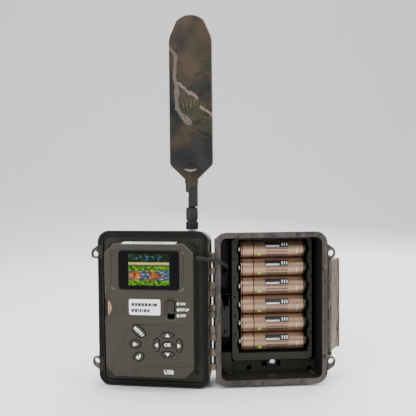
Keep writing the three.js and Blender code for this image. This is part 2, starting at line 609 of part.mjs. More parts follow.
function fromFront(x, y, z) {
  return new THREE.Vector3(x, y, z).applyAxisAngle(new THREE.Vector3(0, 0, 1), -OVER_OPEN);
}
const leadRoute = [fromFront(-13.4, LEAD.y, LEAD.z), fromFront(-9.5, LEAD.y, LEAD.z), fromFront(-5, -5.6, 97),
  new THREE.Vector3(0, -4.6, 96), new THREE.Vector3(5, -3.6, 94.6), new THREE.Vector3(9, -0.5, 92.6),
  new THREE.Vector3(11.4, 5, 90.2), new THREE.Vector3(12, 12, 87.6), new THREE.Vector3(12, 20, 85)];
const leadSection = new THREE.Shape(ellipseRing(0, 0, LEAD.radius, LEAD.radius, 0, 8)
  .map(([x, z]) => new THREE.Vector2(x, z)));
const lead = new THREE.ExtrudeGeometry(leadSection, {
  steps: 24, extrudePath: new THREE.CatmullRomCurve3(leadRoute), bevelEnabled: false,
});
put(open, 'power_lead', lead, rubber);

open.position.set(-FOOT.x, -(FOOT.y - 8), 0);
camera.add(open);

export default camera;
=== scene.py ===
"""Cellular trail camera, open like a book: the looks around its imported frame."""
import math
import random

import bmesh
import bpy
from mathutils import Matrix, Vector


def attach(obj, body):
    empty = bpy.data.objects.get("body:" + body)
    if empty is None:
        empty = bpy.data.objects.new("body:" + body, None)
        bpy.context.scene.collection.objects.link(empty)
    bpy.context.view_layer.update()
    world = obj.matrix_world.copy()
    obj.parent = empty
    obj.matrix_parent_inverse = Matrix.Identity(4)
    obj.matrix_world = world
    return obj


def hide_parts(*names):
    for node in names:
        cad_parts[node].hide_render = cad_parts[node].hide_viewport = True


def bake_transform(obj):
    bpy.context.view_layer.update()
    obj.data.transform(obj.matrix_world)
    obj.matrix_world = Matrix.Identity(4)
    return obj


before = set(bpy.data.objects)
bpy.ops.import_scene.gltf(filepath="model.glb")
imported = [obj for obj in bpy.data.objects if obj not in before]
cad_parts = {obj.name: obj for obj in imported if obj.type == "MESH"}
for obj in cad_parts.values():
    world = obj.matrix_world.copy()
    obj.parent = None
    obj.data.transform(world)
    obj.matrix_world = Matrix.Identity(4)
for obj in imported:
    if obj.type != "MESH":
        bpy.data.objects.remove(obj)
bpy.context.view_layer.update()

MM = 0.001
OVER_OPEN = math.radians(14)
HINGE = Vector((-44, -13, 0))          # the hinge axis in the frame, in millimetres

# Each half is drawn in millimetres from the hinge: x outwards, y from the rim backwards, z up.
REAR = Matrix.Scale(MM, 4) @ Matrix.Translation(HINGE)
FRONT = REAR @ Matrix.Rotation(-OVER_OPEN, 4, "Z")

RIM_Y = 0.15
RIM_WALL = 4.4
DRAFT = math.tan(math.radians(5))
FACE = -12.0


# ---------------------------------------------------------------- camera and light
EYE = (-0.08622, -0.48271, 0.1529)
VIEW_TURN, VIEW_DOWN, VIEW_ROLL = -4.82, 2.33, -0.47
FOCAL_LENGTH = 56.25
WORLD_LIGHT = 0.75


def set_camera():
    data = bpy.data.cameras.new("camera")
    data.sensor_width = 36
    data.lens = FOCAL_LENGTH
    data.clip_start = 0.01
    camera = bpy.data.objects.new("camera", data)
    bpy.context.scene.collection.objects.link(camera)
    aim = Matrix.Rotation(math.radians(VIEW_TURN), 4, "Z") @ Matrix.Rotation(math.radians(90 - VIEW_DOWN),
                                                                             4, "X")
    roll = Matrix.Rotation(math.radians(VIEW_ROLL), 4, "Z")
    camera.matrix_world = Matrix.Translation(EYE) @ aim @ roll
    bpy.context.scene.camera = camera


def add_light(name, place, target, size, power):
    data = bpy.data.lights.new(name, "AREA")
    data.shape = "RECTANGLE"
    data.size, data.size_y = size
    data.energy = power
    light = bpy.data.objects.new(name, data)
    bpy.context.scene.collection.objects.link(light)
    direction = Vector(target) - Vector(place)
    light.matrix_world = Matrix.Translation(place) @ direction.to_track_quat("-Z", "Y").to_matrix().to_4x4()


def set_studio():
    world = bpy.data.worlds.new("studio")
    world.use_nodes = True
    world.node_tree.nodes["Background"].inputs["Color"].default_value = (1, 1, 1, 1)
    world.node_tree.nodes["Background"].inputs["Strength"].default_value = WORLD_LIGHT
    bpy.context.scene.world = world
    add_light("key_light", (-0.55, -0.85, 0.85), (-0.05, 0, 0.1), (0.7, 0.7), 11)
    add_light("fill_light", (0.75, -0.6, 0.55), (0, 0, 0.08), (0.8, 0.8), 7)
    add_light("top_light", (0, 0.05, 1.1), (0, 0, 0.1), (0.8, 0.6), 13)
    add_light("low_light", (-0.9, -0.4, 0.12), (-0.08, 0, 0.08), (0.5, 0.5), 3.5)
    add_light("back_light", (0.3, 0.9, 0.6), (0, 0, 0.1), (0.8, 0.6), 9)


set_camera()
set_studio()


# ---------------------------------------------------------------- shader helpers
class Signal:
    """A shader socket that takes part in Python expressions; each operation adds its node."""

    def __init__(self, finish, socket):
        self.finish = finish
        self.socket = socket

    def maths(self, operation, *others):
        sockets = {str(i): value for i, value in enumerate((self, *others))}
        return self.finish.node("ShaderNodeMath", {"operation": operation}, sockets)["Value"]

    def __add__(self, other):
        return self.maths("ADD", other)

    __radd__ = __add__

    def __mul__(self, other):
        return self.maths("MULTIPLY", other)

    __rmul__ = __mul__

    def __sub__(self, other):
        return self.maths("SUBTRACT", other)

    def __rsub__(self, other):
        return (self * -1) + other

    def __truediv__(self, other):
        return self.maths("DIVIDE", other)

    def __pow__(self, other):
        return self.maths("POWER", other)

    def __lt__(self, other):
        return self.maths("LESS_THAN", other)

    def __gt__(self, other):
        return self.maths("GREATER_THAN", other)

    def __abs__(self):
        return self.maths("ABSOLUTE")

    def least(self, other):
        return self.maths("MINIMUM", other)

    def most(self, other):
        return self.maths("MAXIMUM", other)

    def fraction(self):
        return self.maths("FRACT")

    def between(self, low, high):
        """0 below low, 1 above high and a smooth ramp from one to the other."""
        settings = {"interpolation_type": "SMOOTHSTEP"}
        sockets = {"Value": self, "From Min": low, "From Max": high}
        return self.finish.node("ShaderNodeMapRange", settings, sockets)["Result"]


class Finish:
    """One material under construction, with its Principled shader."""

    def __init__(self, name, **fixed):
        self.material = bpy.data.materials.new(name)
        self.material.use_nodes = True
        self.tree = self.material.node_tree
        self.shader = self.tree.nodes["Principled BSDF"]
        for socket, value in fixed.items():
            self.shader.inputs[socket.replace("_", " ")].default_value = value

    def node(self, kind, settings=None, sockets=None):
        made = self.tree.nodes.new(kind)
        for name, value in (settings or {}).items():
            if name == "stops":
                ramp = made.color_ramp
                while len(ramp.elements) < len(value):
                    ramp.elements.new(0.5)
                for element, (place, colour) in zip(ramp.elements, value):
                    element.position = place
                    element.color = (*colour, 1)
            else:
                setattr(made, name, value)
        for name, value in (sockets or {}).items():
            socket = made.inputs[int(name) if name.isdigit() else name]
            if isinstance(value, Signal):
                self.tree.links.new(value.socket, socket)
            else:
                socket.default_value = value
        return {output.name: Signal(self, output) for output in made.outputs if output.enabled}

    def place(self, scale=(1, 1, 1), turn=(0, 0, 0)):
        """The point on the surface in millimetres, stretched and turned."""
        point = self.node("ShaderNodeTexCoord")["Object"]
        sockets = {"Vector": point, "Scale": [1000 * s for s in scale], "Rotation": turn}
        return self.node("ShaderNodeMapping", {"vector_type": "POINT"}, sockets)["Vector"]

    def axes(self, vector):
        parts = self.node("ShaderNodeSeparateXYZ", None, {"Vector": vector})
        return parts["X"], parts["Y"], parts["Z"]

    def noise(self, vector, scale, detail=3.0, roughness=0.5, distortion=0.0):
        sockets = {"Vector": vector, "Scale": scale, "Detail": detail, "Roughness": roughness,
                   "Distortion": distortion}
        found = self.node("ShaderNodeTexNoise", None, sockets)
        return found.get("Fac") or found["Factor"]

    def mix(self, factor, first, second):
        made = self.tree.nodes.new("ShaderNodeMix")
        made.data_type = "RGBA"
        for socket, value in ((made.inputs[0], factor), (made.inputs[6], first), (made.inputs[7], second)):
            if isinstance(value, Signal):
                self.tree.links.new(value.socket, socket)
            elif socket.type == "RGBA":
                socket.default_value = (*value, 1)
            else:
                socket.default_value = value
        return Signal(self, made.outputs[2])

    def ramp(self, factor, stops):
        return self.node("ShaderNodeValToRGB", {"stops": stops}, {"Fac": factor})["Color"]

    def feed(self, **links):
        for socket, signal in links.items():
            self.tree.links.new(signal.socket, self.shader.inputs[socket.replace("_", " ")])
        return self.material

    def bump(self, height, strength, distance=0.0002):
        sockets = {"Height": height, "Strength": strength, "Distance": distance}
        return self.node("ShaderNodeBump", None, sockets)["Normal"]


# ---------------------------------------------------------------- finishes
def camouflage(name, pale, dark, roughness=0.55, crisp=1.0):
    """Printed bark-and-twig film: blurred ground, upright trunks, needles and thin dark twigs."""
    f = Finish(name, Specular_IOR_Level=0.25)
    wide = f.place((1, 1, 0.45))
    ground = f.noise(wide, 0.06, 4, 0.55, 0.8)
    patches = f.noise(f.place((0.8, 0.8, 0.6), (0.3, 0.2, 0.5)), 0.13, 5, 0.6, 1.5)
    base = f.ramp(ground, [(0.3, dark), (0.46, [0.6 * c for c in pale]), (0.6, pale), (0.75, dark)])
    grain = f.noise(f.place((1, 1, 0.12), (0.1, 0.05, 0)), 1.2, 4, 0.6)
    base = f.mix(grain.between(0.42, 0.62) * (0.35 * crisp), base, [1.45 * c for c in pale])
    trunk = f.noise(f.place((1, 1, 0.1), (0.12, -0.25, 0.0)), 0.09, 2, 0.4, 0.4)
    base = f.mix(trunk.between(0.56, 0.6) * (0.75 * crisp), base, [1.9 * c for c in pale])
    bark = f.noise(f.place((1, 1, 0.25)), 0.9, 5, 0.7, 0.5)
    base = f.mix(bark.between(0.5, 0.7) * (0.6 * crisp), base, [0.35 * c for c in dark])
    green = f.noise(f.place((1, 1, 1), (0.6, 0.1, 0.2)), 0.11, 4, 0.6, 2.2)
    base = f.mix(green.between(0.56, 0.63) * 0.55, base, (0.075, 0.082, 0.035))
    strokes = f.noise(f.place((1.0, 1.0, 0.16), (0.2, 0.55, 0.1)), 0.75, 2, 0.5, 0.3)
    base = f.mix(strokes.between(0.62, 0.66) * patches.between(0.4, 0.55) * (0.8 * crisp), base,
                 [2.1 * c for c in pale])
    across = f.noise(f.place((1.0, 1.0, 0.14), (-0.3, -0.75, 0.3)), 0.8, 2, 0.5, 0.3)
    base = f.mix(across.between(0.61, 0.65) * (1 - patches.between(0.45, 0.6)) * crisp, base,
                 [0.25 * c for c in dark])
    twig = abs(f.noise(f.place((1, 1, 0.32), (0.15, 0.5, 0)), 0.085, 3, 0.5, 1.0) - 0.5)
    base = f.mix((1 - twig.between(0.004, 0.012)) * 0.9, base, [0.12 * c for c in dark])
    fine = f.noise(f.place(), 3.2, 3)
    return f.feed(Base_Color=base, Roughness=fine * 0.25 + (roughness - 0.12), Normal=f.bump(fine, 0.12))


def moulded(name, colour, roughness, texture=2.2, depth=0.25, variation=0.12):
    """Moulded plastic with a fine spark-eroded texture and slight handling marks."""
    f = Finish(name, Specular_IOR_Level=0.22)
    grain = f.noise(f.place(), texture, 4, 0.65)
    smudge = f.noise(f.place(), 0.05, 4, 0.6, 0.6)
    shade = f.mix(smudge, [c * (1 - variation) for c in colour], [c * (1 + variation) for c in colour])
    shade = f.mix(grain.between(0.55, 0.75) * 0.3, shade, [c * 1.35 for c in colour])
    rough = smudge * 0.12 + grain * 0.1 + (roughness - 0.11)
    return f.feed(Base_Color=shade, Roughness=rough, Normal=f.bump(grain, depth, 0.0001))


def metal(name, colour, roughness):
    f = Finish(name, Metallic=1.0)
    brushed = f.noise(f.place((1, 1, 0.15)), 2.5, 4, 0.6)
    tint = f.mix(brushed, [0.8 * c for c in colour], colour)
    return f.feed(Base_Color=tint, Roughness=brushed * 0.2 + (roughness - 0.1))


def polished(name, colour, roughness=0.06):
    """Dark polished acrylic, with faint dust that dulls it in places."""
    f = Finish(name, Specular_IOR_Level=0.06)
    dust = f.noise(f.place(), 0.35, 5, 0.65)
    tint = f.mix(dust.between(0.5, 0.8) * 0.4, colour, [c + 0.006 for c in colour])
    return f.feed(Base_Color=tint, Roughness=dust.between(0.45, 0.8) * 0.12 + roughness)


def printed(name, colour):
    f = Finish(name)
    wear = f.noise(f.place(), 1.4, 4, 0.6)
    shade = f.mix(wear.between(0.5, 0.75) * 0.35, colour, [0.8 * c for c in colour])
    return f.feed(Base_Color=shade, Roughness=wear * 0.2 + 0.45)


camo = camouflage("bark_camouflage", (0.06, 0.046, 0.034), (0.014, 0.013, 0.011))
rim_camo = camouflage("rim_camouflage", (0.05, 0.044, 0.043), (0.02, 0.018, 0.018), 0.45, 0.3)
olive = moulded("olive_plastic", (0.029, 0.0267, 0.0197), 0.5)
# a lighter copy of the olive plastic: painted highlight on the module's chamfers that face up or left
olive_painted_highlight = moulded("olive_painted_highlight", (0.075, 0.07, 0.056), 0.4)
key_olive = moulded("key_plastic", (0.0275, 0.025, 0.019), 0.42)
# darker olive: the plain plastic inside the shells and the latch nub, and painted shade on the module's
# flange and side walls
dark_olive_and_painted_shade = moulded("dark_olive_plastic", (0.013, 0.0125, 0.009), 0.5)
# near-black copy of the plastic: painted shade for the rear shell's right inner wall, the hinge guard and the
# tray's deep faces
painted_shade_black = moulded("inner_black_plastic", (0.0045, 0.0045, 0.0036), 0.6)
black = moulded("black_plastic", (0.011, 0.011, 0.012), 0.38, 1.5, 0.12)
rubber = moulded("gasket_rubber", (0.006, 0.006, 0.006), 0.45, 1.2, 0.15)
steel = metal("bright_steel", (0.72, 0.72, 0.74), 0.28)
brass = metal("machined_brass", (0.62, 0.45, 0.2), 0.32)
nickel = metal("nickel_plate", (0.6, 0.58, 0.53), 0.35)
dark_acrylic = polished("dark_acrylic", (0.0015, 0.0015, 0.002))
# pale plastic colour used as a painted highlight on the upward faces of the antenna's scoop
scoop_painted_highlight = moulded("scoop_painted_highlight", (0.17, 0.145, 0.12), 0.5)
circuit_green = moulded("solder_mask", (0.012, 0.06, 0.022), 0.3)
white_print = printed("white_print", (0.75, 0.75, 0.72))


# ---------------------------------------------------------------- modelling helpers (millimetres)
def cuboid(bm, x, y, z):
    size = Matrix.Diagonal((x[1] - x[0], y[1] - y[0], z[1] - z[0], 1))
    centre = Matrix.Translation((sum(x) / 2, sum(y) / 2, sum(z) / 2))
    return bmesh.ops.create_cube(bm, size=1, matrix=centre @ size)["verts"]


def rod(bm, radius, start, end, sides=32, tip=None):
    start, end = Vector(start), Vector(end)
    turn = (end - start).to_track_quat("Z", "Y").to_matrix().to_4x4()
    place = Matrix.Translation((start + end) / 2) @ turn
    tip = radius if tip is None else tip
    made = bmesh.ops.create_cone(bm, cap_ends=True, segments=sides, radius1=radius, radius2=tip,
                                 depth=(end - start).length, matrix=place)
    return made["verts"]


def outline(bm, corners, y, segments=8):
    """A flat face facing the viewer, from (x, z) or (x, z, radius) corners in order."""
    spots = [(bm.verts.new((c[0], y, c[1])), c[2] if len(c) > 2 else 0) for c in corners]
    face = bm.faces.new([v for v, _ in spots])
    face.normal_update()
    if face.normal.y > 0:
        face.normal_flip()
    for vert, radius in spots:
        if radius:
            made = bmesh.ops.bevel(bm, geom=[vert], offset=radius, segments=segments, profile=0.5,
                                   affect="VERTICES", material=-1)
            face = made["verts"][0].link_faces[0]
    return face


def rounded(x, z, radius):
    return [(x[0], z[0], radius), (x[1], z[0], radius), (x[1], z[1], radius), (x[0], z[1], radius)]


def circle(bm, centre, radius, y, sides=32, squeeze=1.0, turn=0.0):
    """A flat round or oval face facing the viewer."""
    place = (Matrix.Translation((centre[0], y, centre[1])) @ Matrix.Rotation(-turn, 4, "Y")
             @ Matrix.Diagonal((1, 1, squeeze, 1)) @ Matrix.Rotation(math.pi / 2, 4, "X"))
    made = bmesh.ops.create_circle(bm, cap_ends=True, segments=sides, radius=radius, matrix=place)
    return made["verts"][0].link_faces[0]


def extrude(bm, face, depth, grow=0.0):
    """Pulls a face backwards by depth and grows its outline by about grow; a lone face stays as the front."""
    is_joined = any(len(e.link_faces) > 1 for e in face.edges)
    made = bmesh.ops.extrude_face_region(bm, geom=[face])["geom"]
    if is_joined:
        bmesh.ops.delete(bm, geom=[face], context="FACES_ONLY")
    verts = [g for g in made if isinstance(g, bmesh.types.BMVert)]
    far = next(g for g in made if isinstance(g, bmesh.types.BMFace))
    bmesh.ops.translate(bm, verts=verts, vec=(0, depth, 0))
    if grow:
        low = [min(v.co[i] for v in verts) for i in range(3)]
        high = [max(v.co[i] for v in verts) for i in range(3)]
        centre = Vector([(a + b) / 2 for a, b in zip(low, high)])
        wide, tall = high[0] - low[0], high[2] - low[2]
        bmesh.ops.scale(bm, verts=verts, vec=(1 + 2 * grow / wide, 1, 1 + 2 * grow / tall),
                        space=Matrix.Translation(-centre))
    return far


def inset(bm, face, thickness, depth=0.0):
    """Insets a face and sinks it backwards by depth; the face stays the inner one."""
    bmesh.ops.inset_region(bm, faces=[face], thickness=thickness, use_even_offset=True, use_boundary=True)
    if depth:
        bmesh.ops.translate(bm, verts=list(face.verts), vec=(0, depth, 0))
    return face


def slab(bm, corners, y, grow=0.0, segments=8):
    face = outline(bm, corners, y[0], segments)
    return extrude(bm, face, y[1] - y[0], grow)


def disc(bm, centre, radius, y, sides=32, squeeze=1.0, turn=0.0, grow=0.0):
    face = circle(bm, centre, radius, y[0], sides, squeeze, turn)
    return extrude(bm, face, y[1] - y[0], grow)


def solid(*makers):
    """A new mesh from functions that each add a shape to it."""
    bm = bmesh.new()
    for make in makers:
        make(bm)
    bmesh.ops.recalc_face_normals(bm, faces=bm.faces)
    return bm


def as_object(bm, name="tool"):
    mesh = bpy.data.meshes.new(name)
    bm.to_mesh(mesh)
    bm.free()
    made = bpy.data.objects.new(name, mesh)
    bpy.context.scene.collection.objects.link(made)
    return made


def combine(base, tools, operation="DIFFERENCE"):
    """Cuts the tool meshes from the base one after another, or joins them to it."""
    body = as_object(base, "body")
    for tool in tools:
        other = as_object(tool)
        change = body.modifiers.new("change", "BOOLEAN")
        change.object = other
        change.operation = operation
        change.solver = "EXACT"
        change.material_mode = "INDEX"
        bpy.context.view_layer.update()
        mesh = bpy.data.meshes.new_from_object(body.evaluated_get(bpy.context.evaluated_depsgraph_get()))
        body.modifiers.clear()
        body.data = mesh
        bpy.data.objects.remove(other)
    result = bmesh.new()
    result.from_mesh(body.data)
    bpy.data.objects.remove(body)
    bmesh.ops.remove_doubles(result, verts=result.verts, dist=0.002)
    return result


def piece(name, bm, half, body, finishes, replaces=(), edge=0.0, steps=2, smooth=35, clamp=False):
    """Places a finished mesh in the frame and lets it ride on its body."""
    if not isinstance(finishes, (list, tuple)):
        finishes = [finishes]
    bm.normal_update()
    for face in bm.faces:
        face.smooth = True
    for e in bm.edges:
        e.smooth = not (len(e.link_faces) == 2 and e.calc_face_angle(0) > math.radians(smooth))
    bmesh.ops.transform(bm, matrix=half, verts=bm.verts)
    made = as_object(bm, name)
    made.data.name = name
    for finish in finishes:
        made.data.materials.append(finish)
    if edge:
        for e in made.data.edges:
            e.use_edge_sharp = False
        rounding = made.modifiers.new("rounding", "BEVEL")
        rounding.width = edge * MM
        rounding.segments = steps
        rounding.limit_method = "ANGLE"
        rounding.angle_limit = math.radians(smooth)
        rounding.harden_normals = True
        rounding.use_clamp_overlap = clamp
        rounding.miter_outer = "MITER_ARC"
    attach(made, body)
    if replaces:
        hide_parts(*([replaces] if isinstance(replaces, str) else replaces))
    return made


def select_faces(bm, test, index):
    """Gives the faces that pass the test another finish."""
    for face in bm.faces:
        if test(face.calc_center_median(), face.normal):
            face.material_index = index


# ---------------------------------------------------------------- the two shells
EARS = ((99.3, 1), (18.2, -1))
EAR_X = 88.8
KNUCKLES = {
    "front": ((15, 19.2), (36.6, 41.8), (53.4, 58), (69, 74.2), (85.7, 90.6)),
    "rear": ((25.2, 30.6), (42.1, 47.4), (58.3, 63), (74.5, 79.7), (96.6, 101)),
}


def ear(side, z, slope):
    spots = [(83, -3), (86, -3.2), (EAR_X + 0.2, -3.3, 1.5), (EAR_X + 3.1, -2.9, 2.6), (EAR_X + 3.1, 3.0,
                                                                                        2.2),
             (86, 7), (83, 7)]
    corners = [(side * x, z + slope * dz, *rest) for x, dz, *rest in spots]
    return solid(lambda bm: slab(bm, corners, (RIM_Y, RIM_Y + 4), segments=6))


def body_shell(bm, x, z, depth, radius=9):
    """The drafted outer body; returns its front face, whose rim and hollow are cut afterwards."""
    face = outline(bm, rounded(x, z, radius), RIM_Y, 10)
    shoulder = depth - 5
    far = extrude(bm, face, shoulder - RIM_Y, -(shoulder - RIM_Y) * DRAFT)
    for back, inward in ((1.9, 0.38), (1.4, 0.75), (1.0, 1.05), (0.7, 1.75)):
        far = extrude(bm, far, back, -inward)
    return face


def ears_and_knuckles(shell, side, spans, others, extras):
    joined = [ear(side, z, slope) for z, slope in EARS]
    for low, high in spans:
        joined.append(solid(lambda bm: rod(bm, 2.3, (0, 0, low), (0, 0, high), 24)))
        joined.append(solid(lambda bm: cuboid(bm, sorted((0, side * 3)), (0.4, 2.25), (low, high))))
    shell = combine(shell, [solid(lambda bm: rod(bm, 2.6, (0, 0, low - 0.3), (0, 0, high + 0.3), 24))
                            for low, high in others])
    shell = combine(shell, joined + extras, "UNION")
    holes = [solid(lambda bm: rod(bm, 2.2, (side * EAR_X, -1, z), (side * EAR_X, 8, z), 24)) for z, _ in EARS]
    holes.append(solid(lambda bm: rod(bm, 1.0, (0, 0, 10), (0, 0, 106), 16)))
    return combine(shell, holes)


def make_front_shell():
    bm = bmesh.new()
    face = body_shell(bm, (-86.9, -2), (0, 117), 34)
    for thickness, depth in ((1.3, 0), (0.05, 2.6), (2.7, 0), (0.05, -2.6), (0.25, 0), (0.25, 26), (0.3, 0)):
        inset(bm, face, thickness, depth)
    bmesh.ops.recalc_face_normals(bm, faces=bm.faces)
    catch = solid(lambda b: cuboid(b, (-87.6, -82.9), (4.6, 8), (30, 86)))
    bm = ears_and_knuckles(bm, -1, KNUCKLES["front"], KNUCKLES["rear"], [catch])
    pockets = [
        solid(lambda b: slab(b, rounded((-71.5, -17.4), (86, 105), 4), (31.8, 36))),
        solid(lambda b: disc(b, (-44.45, 71), 8.7, (31, 36), 48)),
        solid(lambda b: disc(b, (-44.45, 36), 12.3, (32, 36), 48)),
        solid(lambda b: disc(b, (-44.45, 55), 1.5, (32, 36), 16)),
    ]
    bm = combine(bm, pockets)
    select_faces(bm, lambda c, n: c.y < 33.5 and -86.5 < c.x < -2.4 and 0.5 < c.z < 116.5, 1)
    piece("front_shell_finished", bm, FRONT, "front_case", [camo, dark_olive_and_painted_shade], "front_shell",
          0.35)


def make_gasket():
    bm = bmesh.new()
    face = outline(bm, rounded((-85.25, -3.65), (1.65, 115.35), 7.3), RIM_Y - 0.05, 10)
    for thickness, depth in ((0.7, 0), (0.1, 0.9), (0.5, 0), (0.1, -0.9), (0.7, 0), (0.02, 2.2)):
        inset(bm, face, thickness, depth)
    inner = list(face.edges)
    bmesh.ops.delete(bm, geom=[face], context="FACES_ONLY")
    outer = [e for e in bm.edges if e.is_boundary and e not in inner]
    made = bmesh.ops.extrude_edge_only(bm, edges=outer)["geom"]
    bmesh.ops.translate(bm, verts=[g for g in made if isinstance(g, bmesh.types.BMVert)], vec=(0, 2.2, 0))
    bmesh.ops.bridge_loops(bm, edges=[e for e in bm.edges if e.is_boundary])
    bmesh.ops.recalc_face_normals(bm, faces=bm.faces)
    piece("rim_gasket_finished", bm, FRONT, "front_case", rubber, "rim_gasket", 0.18)




# ---------------------------------------------------------------- electronics module
UPPER = FACE + 0.45                    # above the keypad the face lies a little deeper
MODULE_X, MODULE_Z = (-77.8, -11.9), (11, 108.3)
DISPLAY_X, DISPLAY_Z = (-66.9, -22.8), (75.3, 102.8)
SWITCH_X, SWITCH_Z = (-31.2, -25.7), (53.9, 67.5)
DISH = (-84.6, 60.2)
NOTCH = (-80.4, 61.2)
CARD_Z = 60.2
USB_X, USB_Y = -30.6, -7.5
LEAD_Y, LEAD_Z = -6.2, 97.4
LEAD_LOOM = 1.3                        # half the height of the two cores one above the other
BOSSES = ((-78.3, 106), (-11.2, 106), (-11.2, 12), (-78.3, 12))
KEYS = {                               # centre, half width, half height, turn
    "menu": (-52.3, 44.5, 5.6, 3.2, -0.72),
    "play": (-55, 35.2, 4, 3, 0),
    "back": (-52.7, 25.9, 4, 3, 0.5),
    "up": (-31.1, 42.2, 4.7, 2, 0),
    "down": (-31.1, 28.4, 4.7, 2, 0),
    "left": (-39.2, 34.9, 2.3, 4.9, 0),
    "right": (-22.6, 34.9, 2.3, 4.9, 0),
    "ok": (-31, 35.2, 3.9, 2.2, 0),
}


def eight_sided(out, cut=6.9):
    x0, x1 = MODULE_X[0] - out, MODULE_X[1] + out
    z0, z1 = MODULE_Z[0] - out, MODULE_Z[1] + out
    return [(x1 - cut, z0), (x1, z0 + cut), (x1, z1 - cut), (x1 - cut, z1),
            (x0 + cut, z1), (x0, z1 - cut), (x0, z0 + cut), (x0 + cut, z0)]


def corner_facet():
    """The flat that slopes away at the module's lower left, below the card notch."""
    start, along = Vector((-70.4, UPPER, 30)), Vector((-6.9, 0, 20)).normalized()
    tilt = math.radians(9)
    down = Vector((-0.945, 0, -0.326)) * math.cos(tilt) + Vector((0, math.sin(tilt), 0))
    up = along.cross(down)
    if up.y > 0:
        up.negate()
    place = Matrix((along, down, up)).transposed().to_4x4()
    place.translation = start
    wedge = solid(lambda bm: cuboid(bm, (-60, 60), (-0.4, 30), (0, 20)))
    bmesh.ops.transform(wedge, matrix=place, verts=wedge.verts)
    bmesh.ops.recalc_face_normals(wedge, faces=wedge.faces)
    limit = [(-95, 0), (-71.4, 0), (-70.4, 30), (-77.3, 50), (-95, 101)]
    return combine(wedge, [solid(lambda bm: slab(bm, limit, (FACE - 5, 5)))], "INTERSECT")


def key_well(bm, x, z, wide, tall, turn):
    lip = 0.65
    face = circle(bm, (x, z), wide + lip, FACE - 0.4, 40, (tall + lip) / (wide + lip), turn)
    throat = extrude(bm, face, 1.3, -0.4)
    extrude(bm, throat, 3)


def make_module():
    def block(b):
        edge = extrude(b, outline(b, eight_sided(-0.8, 6.6), FACE), 0.8, 0.8)
        extrude(b, edge, 13.2, 1.3)
    bm = combine(solid(block), [solid(lambda b: slab(b, rounded((-82.1, -6.8), (4.8, 112.2), 4), (1.2,
        3.2)))], "UNION")
    inside = [(-19.5, 12.8), (-13.7, 18.6), (-13.7, 100.7), (-19.5, 106.5), (-70.2, 106.5), (-76, 100.7),
              (-76, 54), (-66.2, 34), (-66.2, 12.8)]
    upper = [(-95, 120), (0, 120), (0, 49.6), (-60.4, 49.8, 4), (-64.4, 34, 3), (-67.2, 30, 2), (-70.4, 30,
                                                                                                 1),
             (-71.4, 5), (-95, 5)]
    fish = [(-44.9, 46.5, 2), (-34, 46.5, 6), (-24, 40), (-24, 28), (-36, 25, 5), (-44.4, 28, 2.5),
            (-45.8, 33, 1), (-48.4, 38.3, 2), (-44.2, 41, 1)]
    usb_step = [(-56.2, 0), (-55.4, 12, 3), (-53.6, 19, 4), (0, 19.2), (0, 0)]
    icon = [(-69.6, 57.4, 0.5), (-62.9, 57.4, 0.5), (-62.9, 61, 0.3), (-64.4, 62.4, 0.3), (-69.6, 62.4, 0.5)]
    cuts = [
        solid(lambda b: slab(b, inside, (FACE + 2.2, 4), 0.6)),
        solid(lambda b: slab(b, upper, (FACE - 1, UPPER))),
        corner_facet(),
        solid(lambda b: disc(b, DISH, 13.9, (FACE - 1, UPPER + 0.35), 64, grow=-0.4),
              lambda b: slab(b, rounded((-74.1, -17.7), (73.2, 105.0), 3.8), (UPPER - 0.8, UPPER + 0.9),
                             -1.7),
              lambda b: slab(b, rounded((-33.5, -23.9), (52.1, 69.6), 4.4), (UPPER - 0.5, UPPER + 0.6), -0.7),
              lambda b: slab(b, fish, (FACE - 0.4, FACE + 0.4), -0.3),
              lambda b: slab(b, usb_step, (FACE - 1, FACE + 0.4)),
              lambda b: slab(b, icon, (FACE - 1, UPPER + 0.15))),
        solid(lambda b: disc(b, (-26.8, 35.6), 12.7, (FACE - 0.4, FACE + 0.4), 64, grow=-0.3),
              lambda b: disc(b, NOTCH, 7.4, (FACE - 2, -3.4), 48),
              lambda b: slab(b, rounded([DISPLAY_X[0] - 0.25, DISPLAY_X[1] + 0.25],
                                        [DISPLAY_Z[0] - 0.25, DISPLAY_Z[1] + 0.25], 2), (FACE - 1, FACE + 3)),
              lambda b: slab(b, rounded(SWITCH_X, SWITCH_Z, 1), (FACE - 1, FACE + 4))),
        solid(*[lambda b, k=k: key_well(b, *k) for k in KEYS.values()]),
        solid(lambda b: cuboid(b, (-82, -70), (-6.3, -3.6), (CARD_Z - 12.4, CARD_Z + 12.4)),
              lambda b: cuboid(b, (USB_X - 4.4, USB_X + 4.4), (USB_Y - 2.3, USB_Y + 2.3), (5, 14.5)),
              lambda b: rod(b, LEAD_LOOM + 0.5, (-16, LEAD_Y, LEAD_Z), (-8, LEAD_Y, LEAD_Z), 20),
              *[lambda b, s=s: rod(b, 1.5, (s[0], -0.5, s[1]), (s[0], 5, s[1]), 20) for s in BOSSES],
              *[lambda b, s=s: rod(b, 2.5, (s[0], -6, s[1]), (s[0], 1.7, s[1]), 24) for s in BOSSES]),
    ]
    bm = combine(bm, cuts)
    # the flange behind the face and the module's side walls get the darker olive: painted shade
    select_faces(bm, lambda c, n: c.y > -1 or (c.y > FACE + 2 and abs(n.y) < 0.4), 1)
    # chamfer faces turned up or left get the lighter olive: painted highlight
    select_faces(bm, lambda c, n: c.y < FACE + 0.85 and -0.95 < n.y < -0.3 and (n.z > 0.2 or n.x < -0.4), 2)
    piece("module_cover_finished", bm, FRONT, "front_case", [olive, dark_olive_and_painted_shade, olive_painted_highlight], "module_cover",
          0.25)


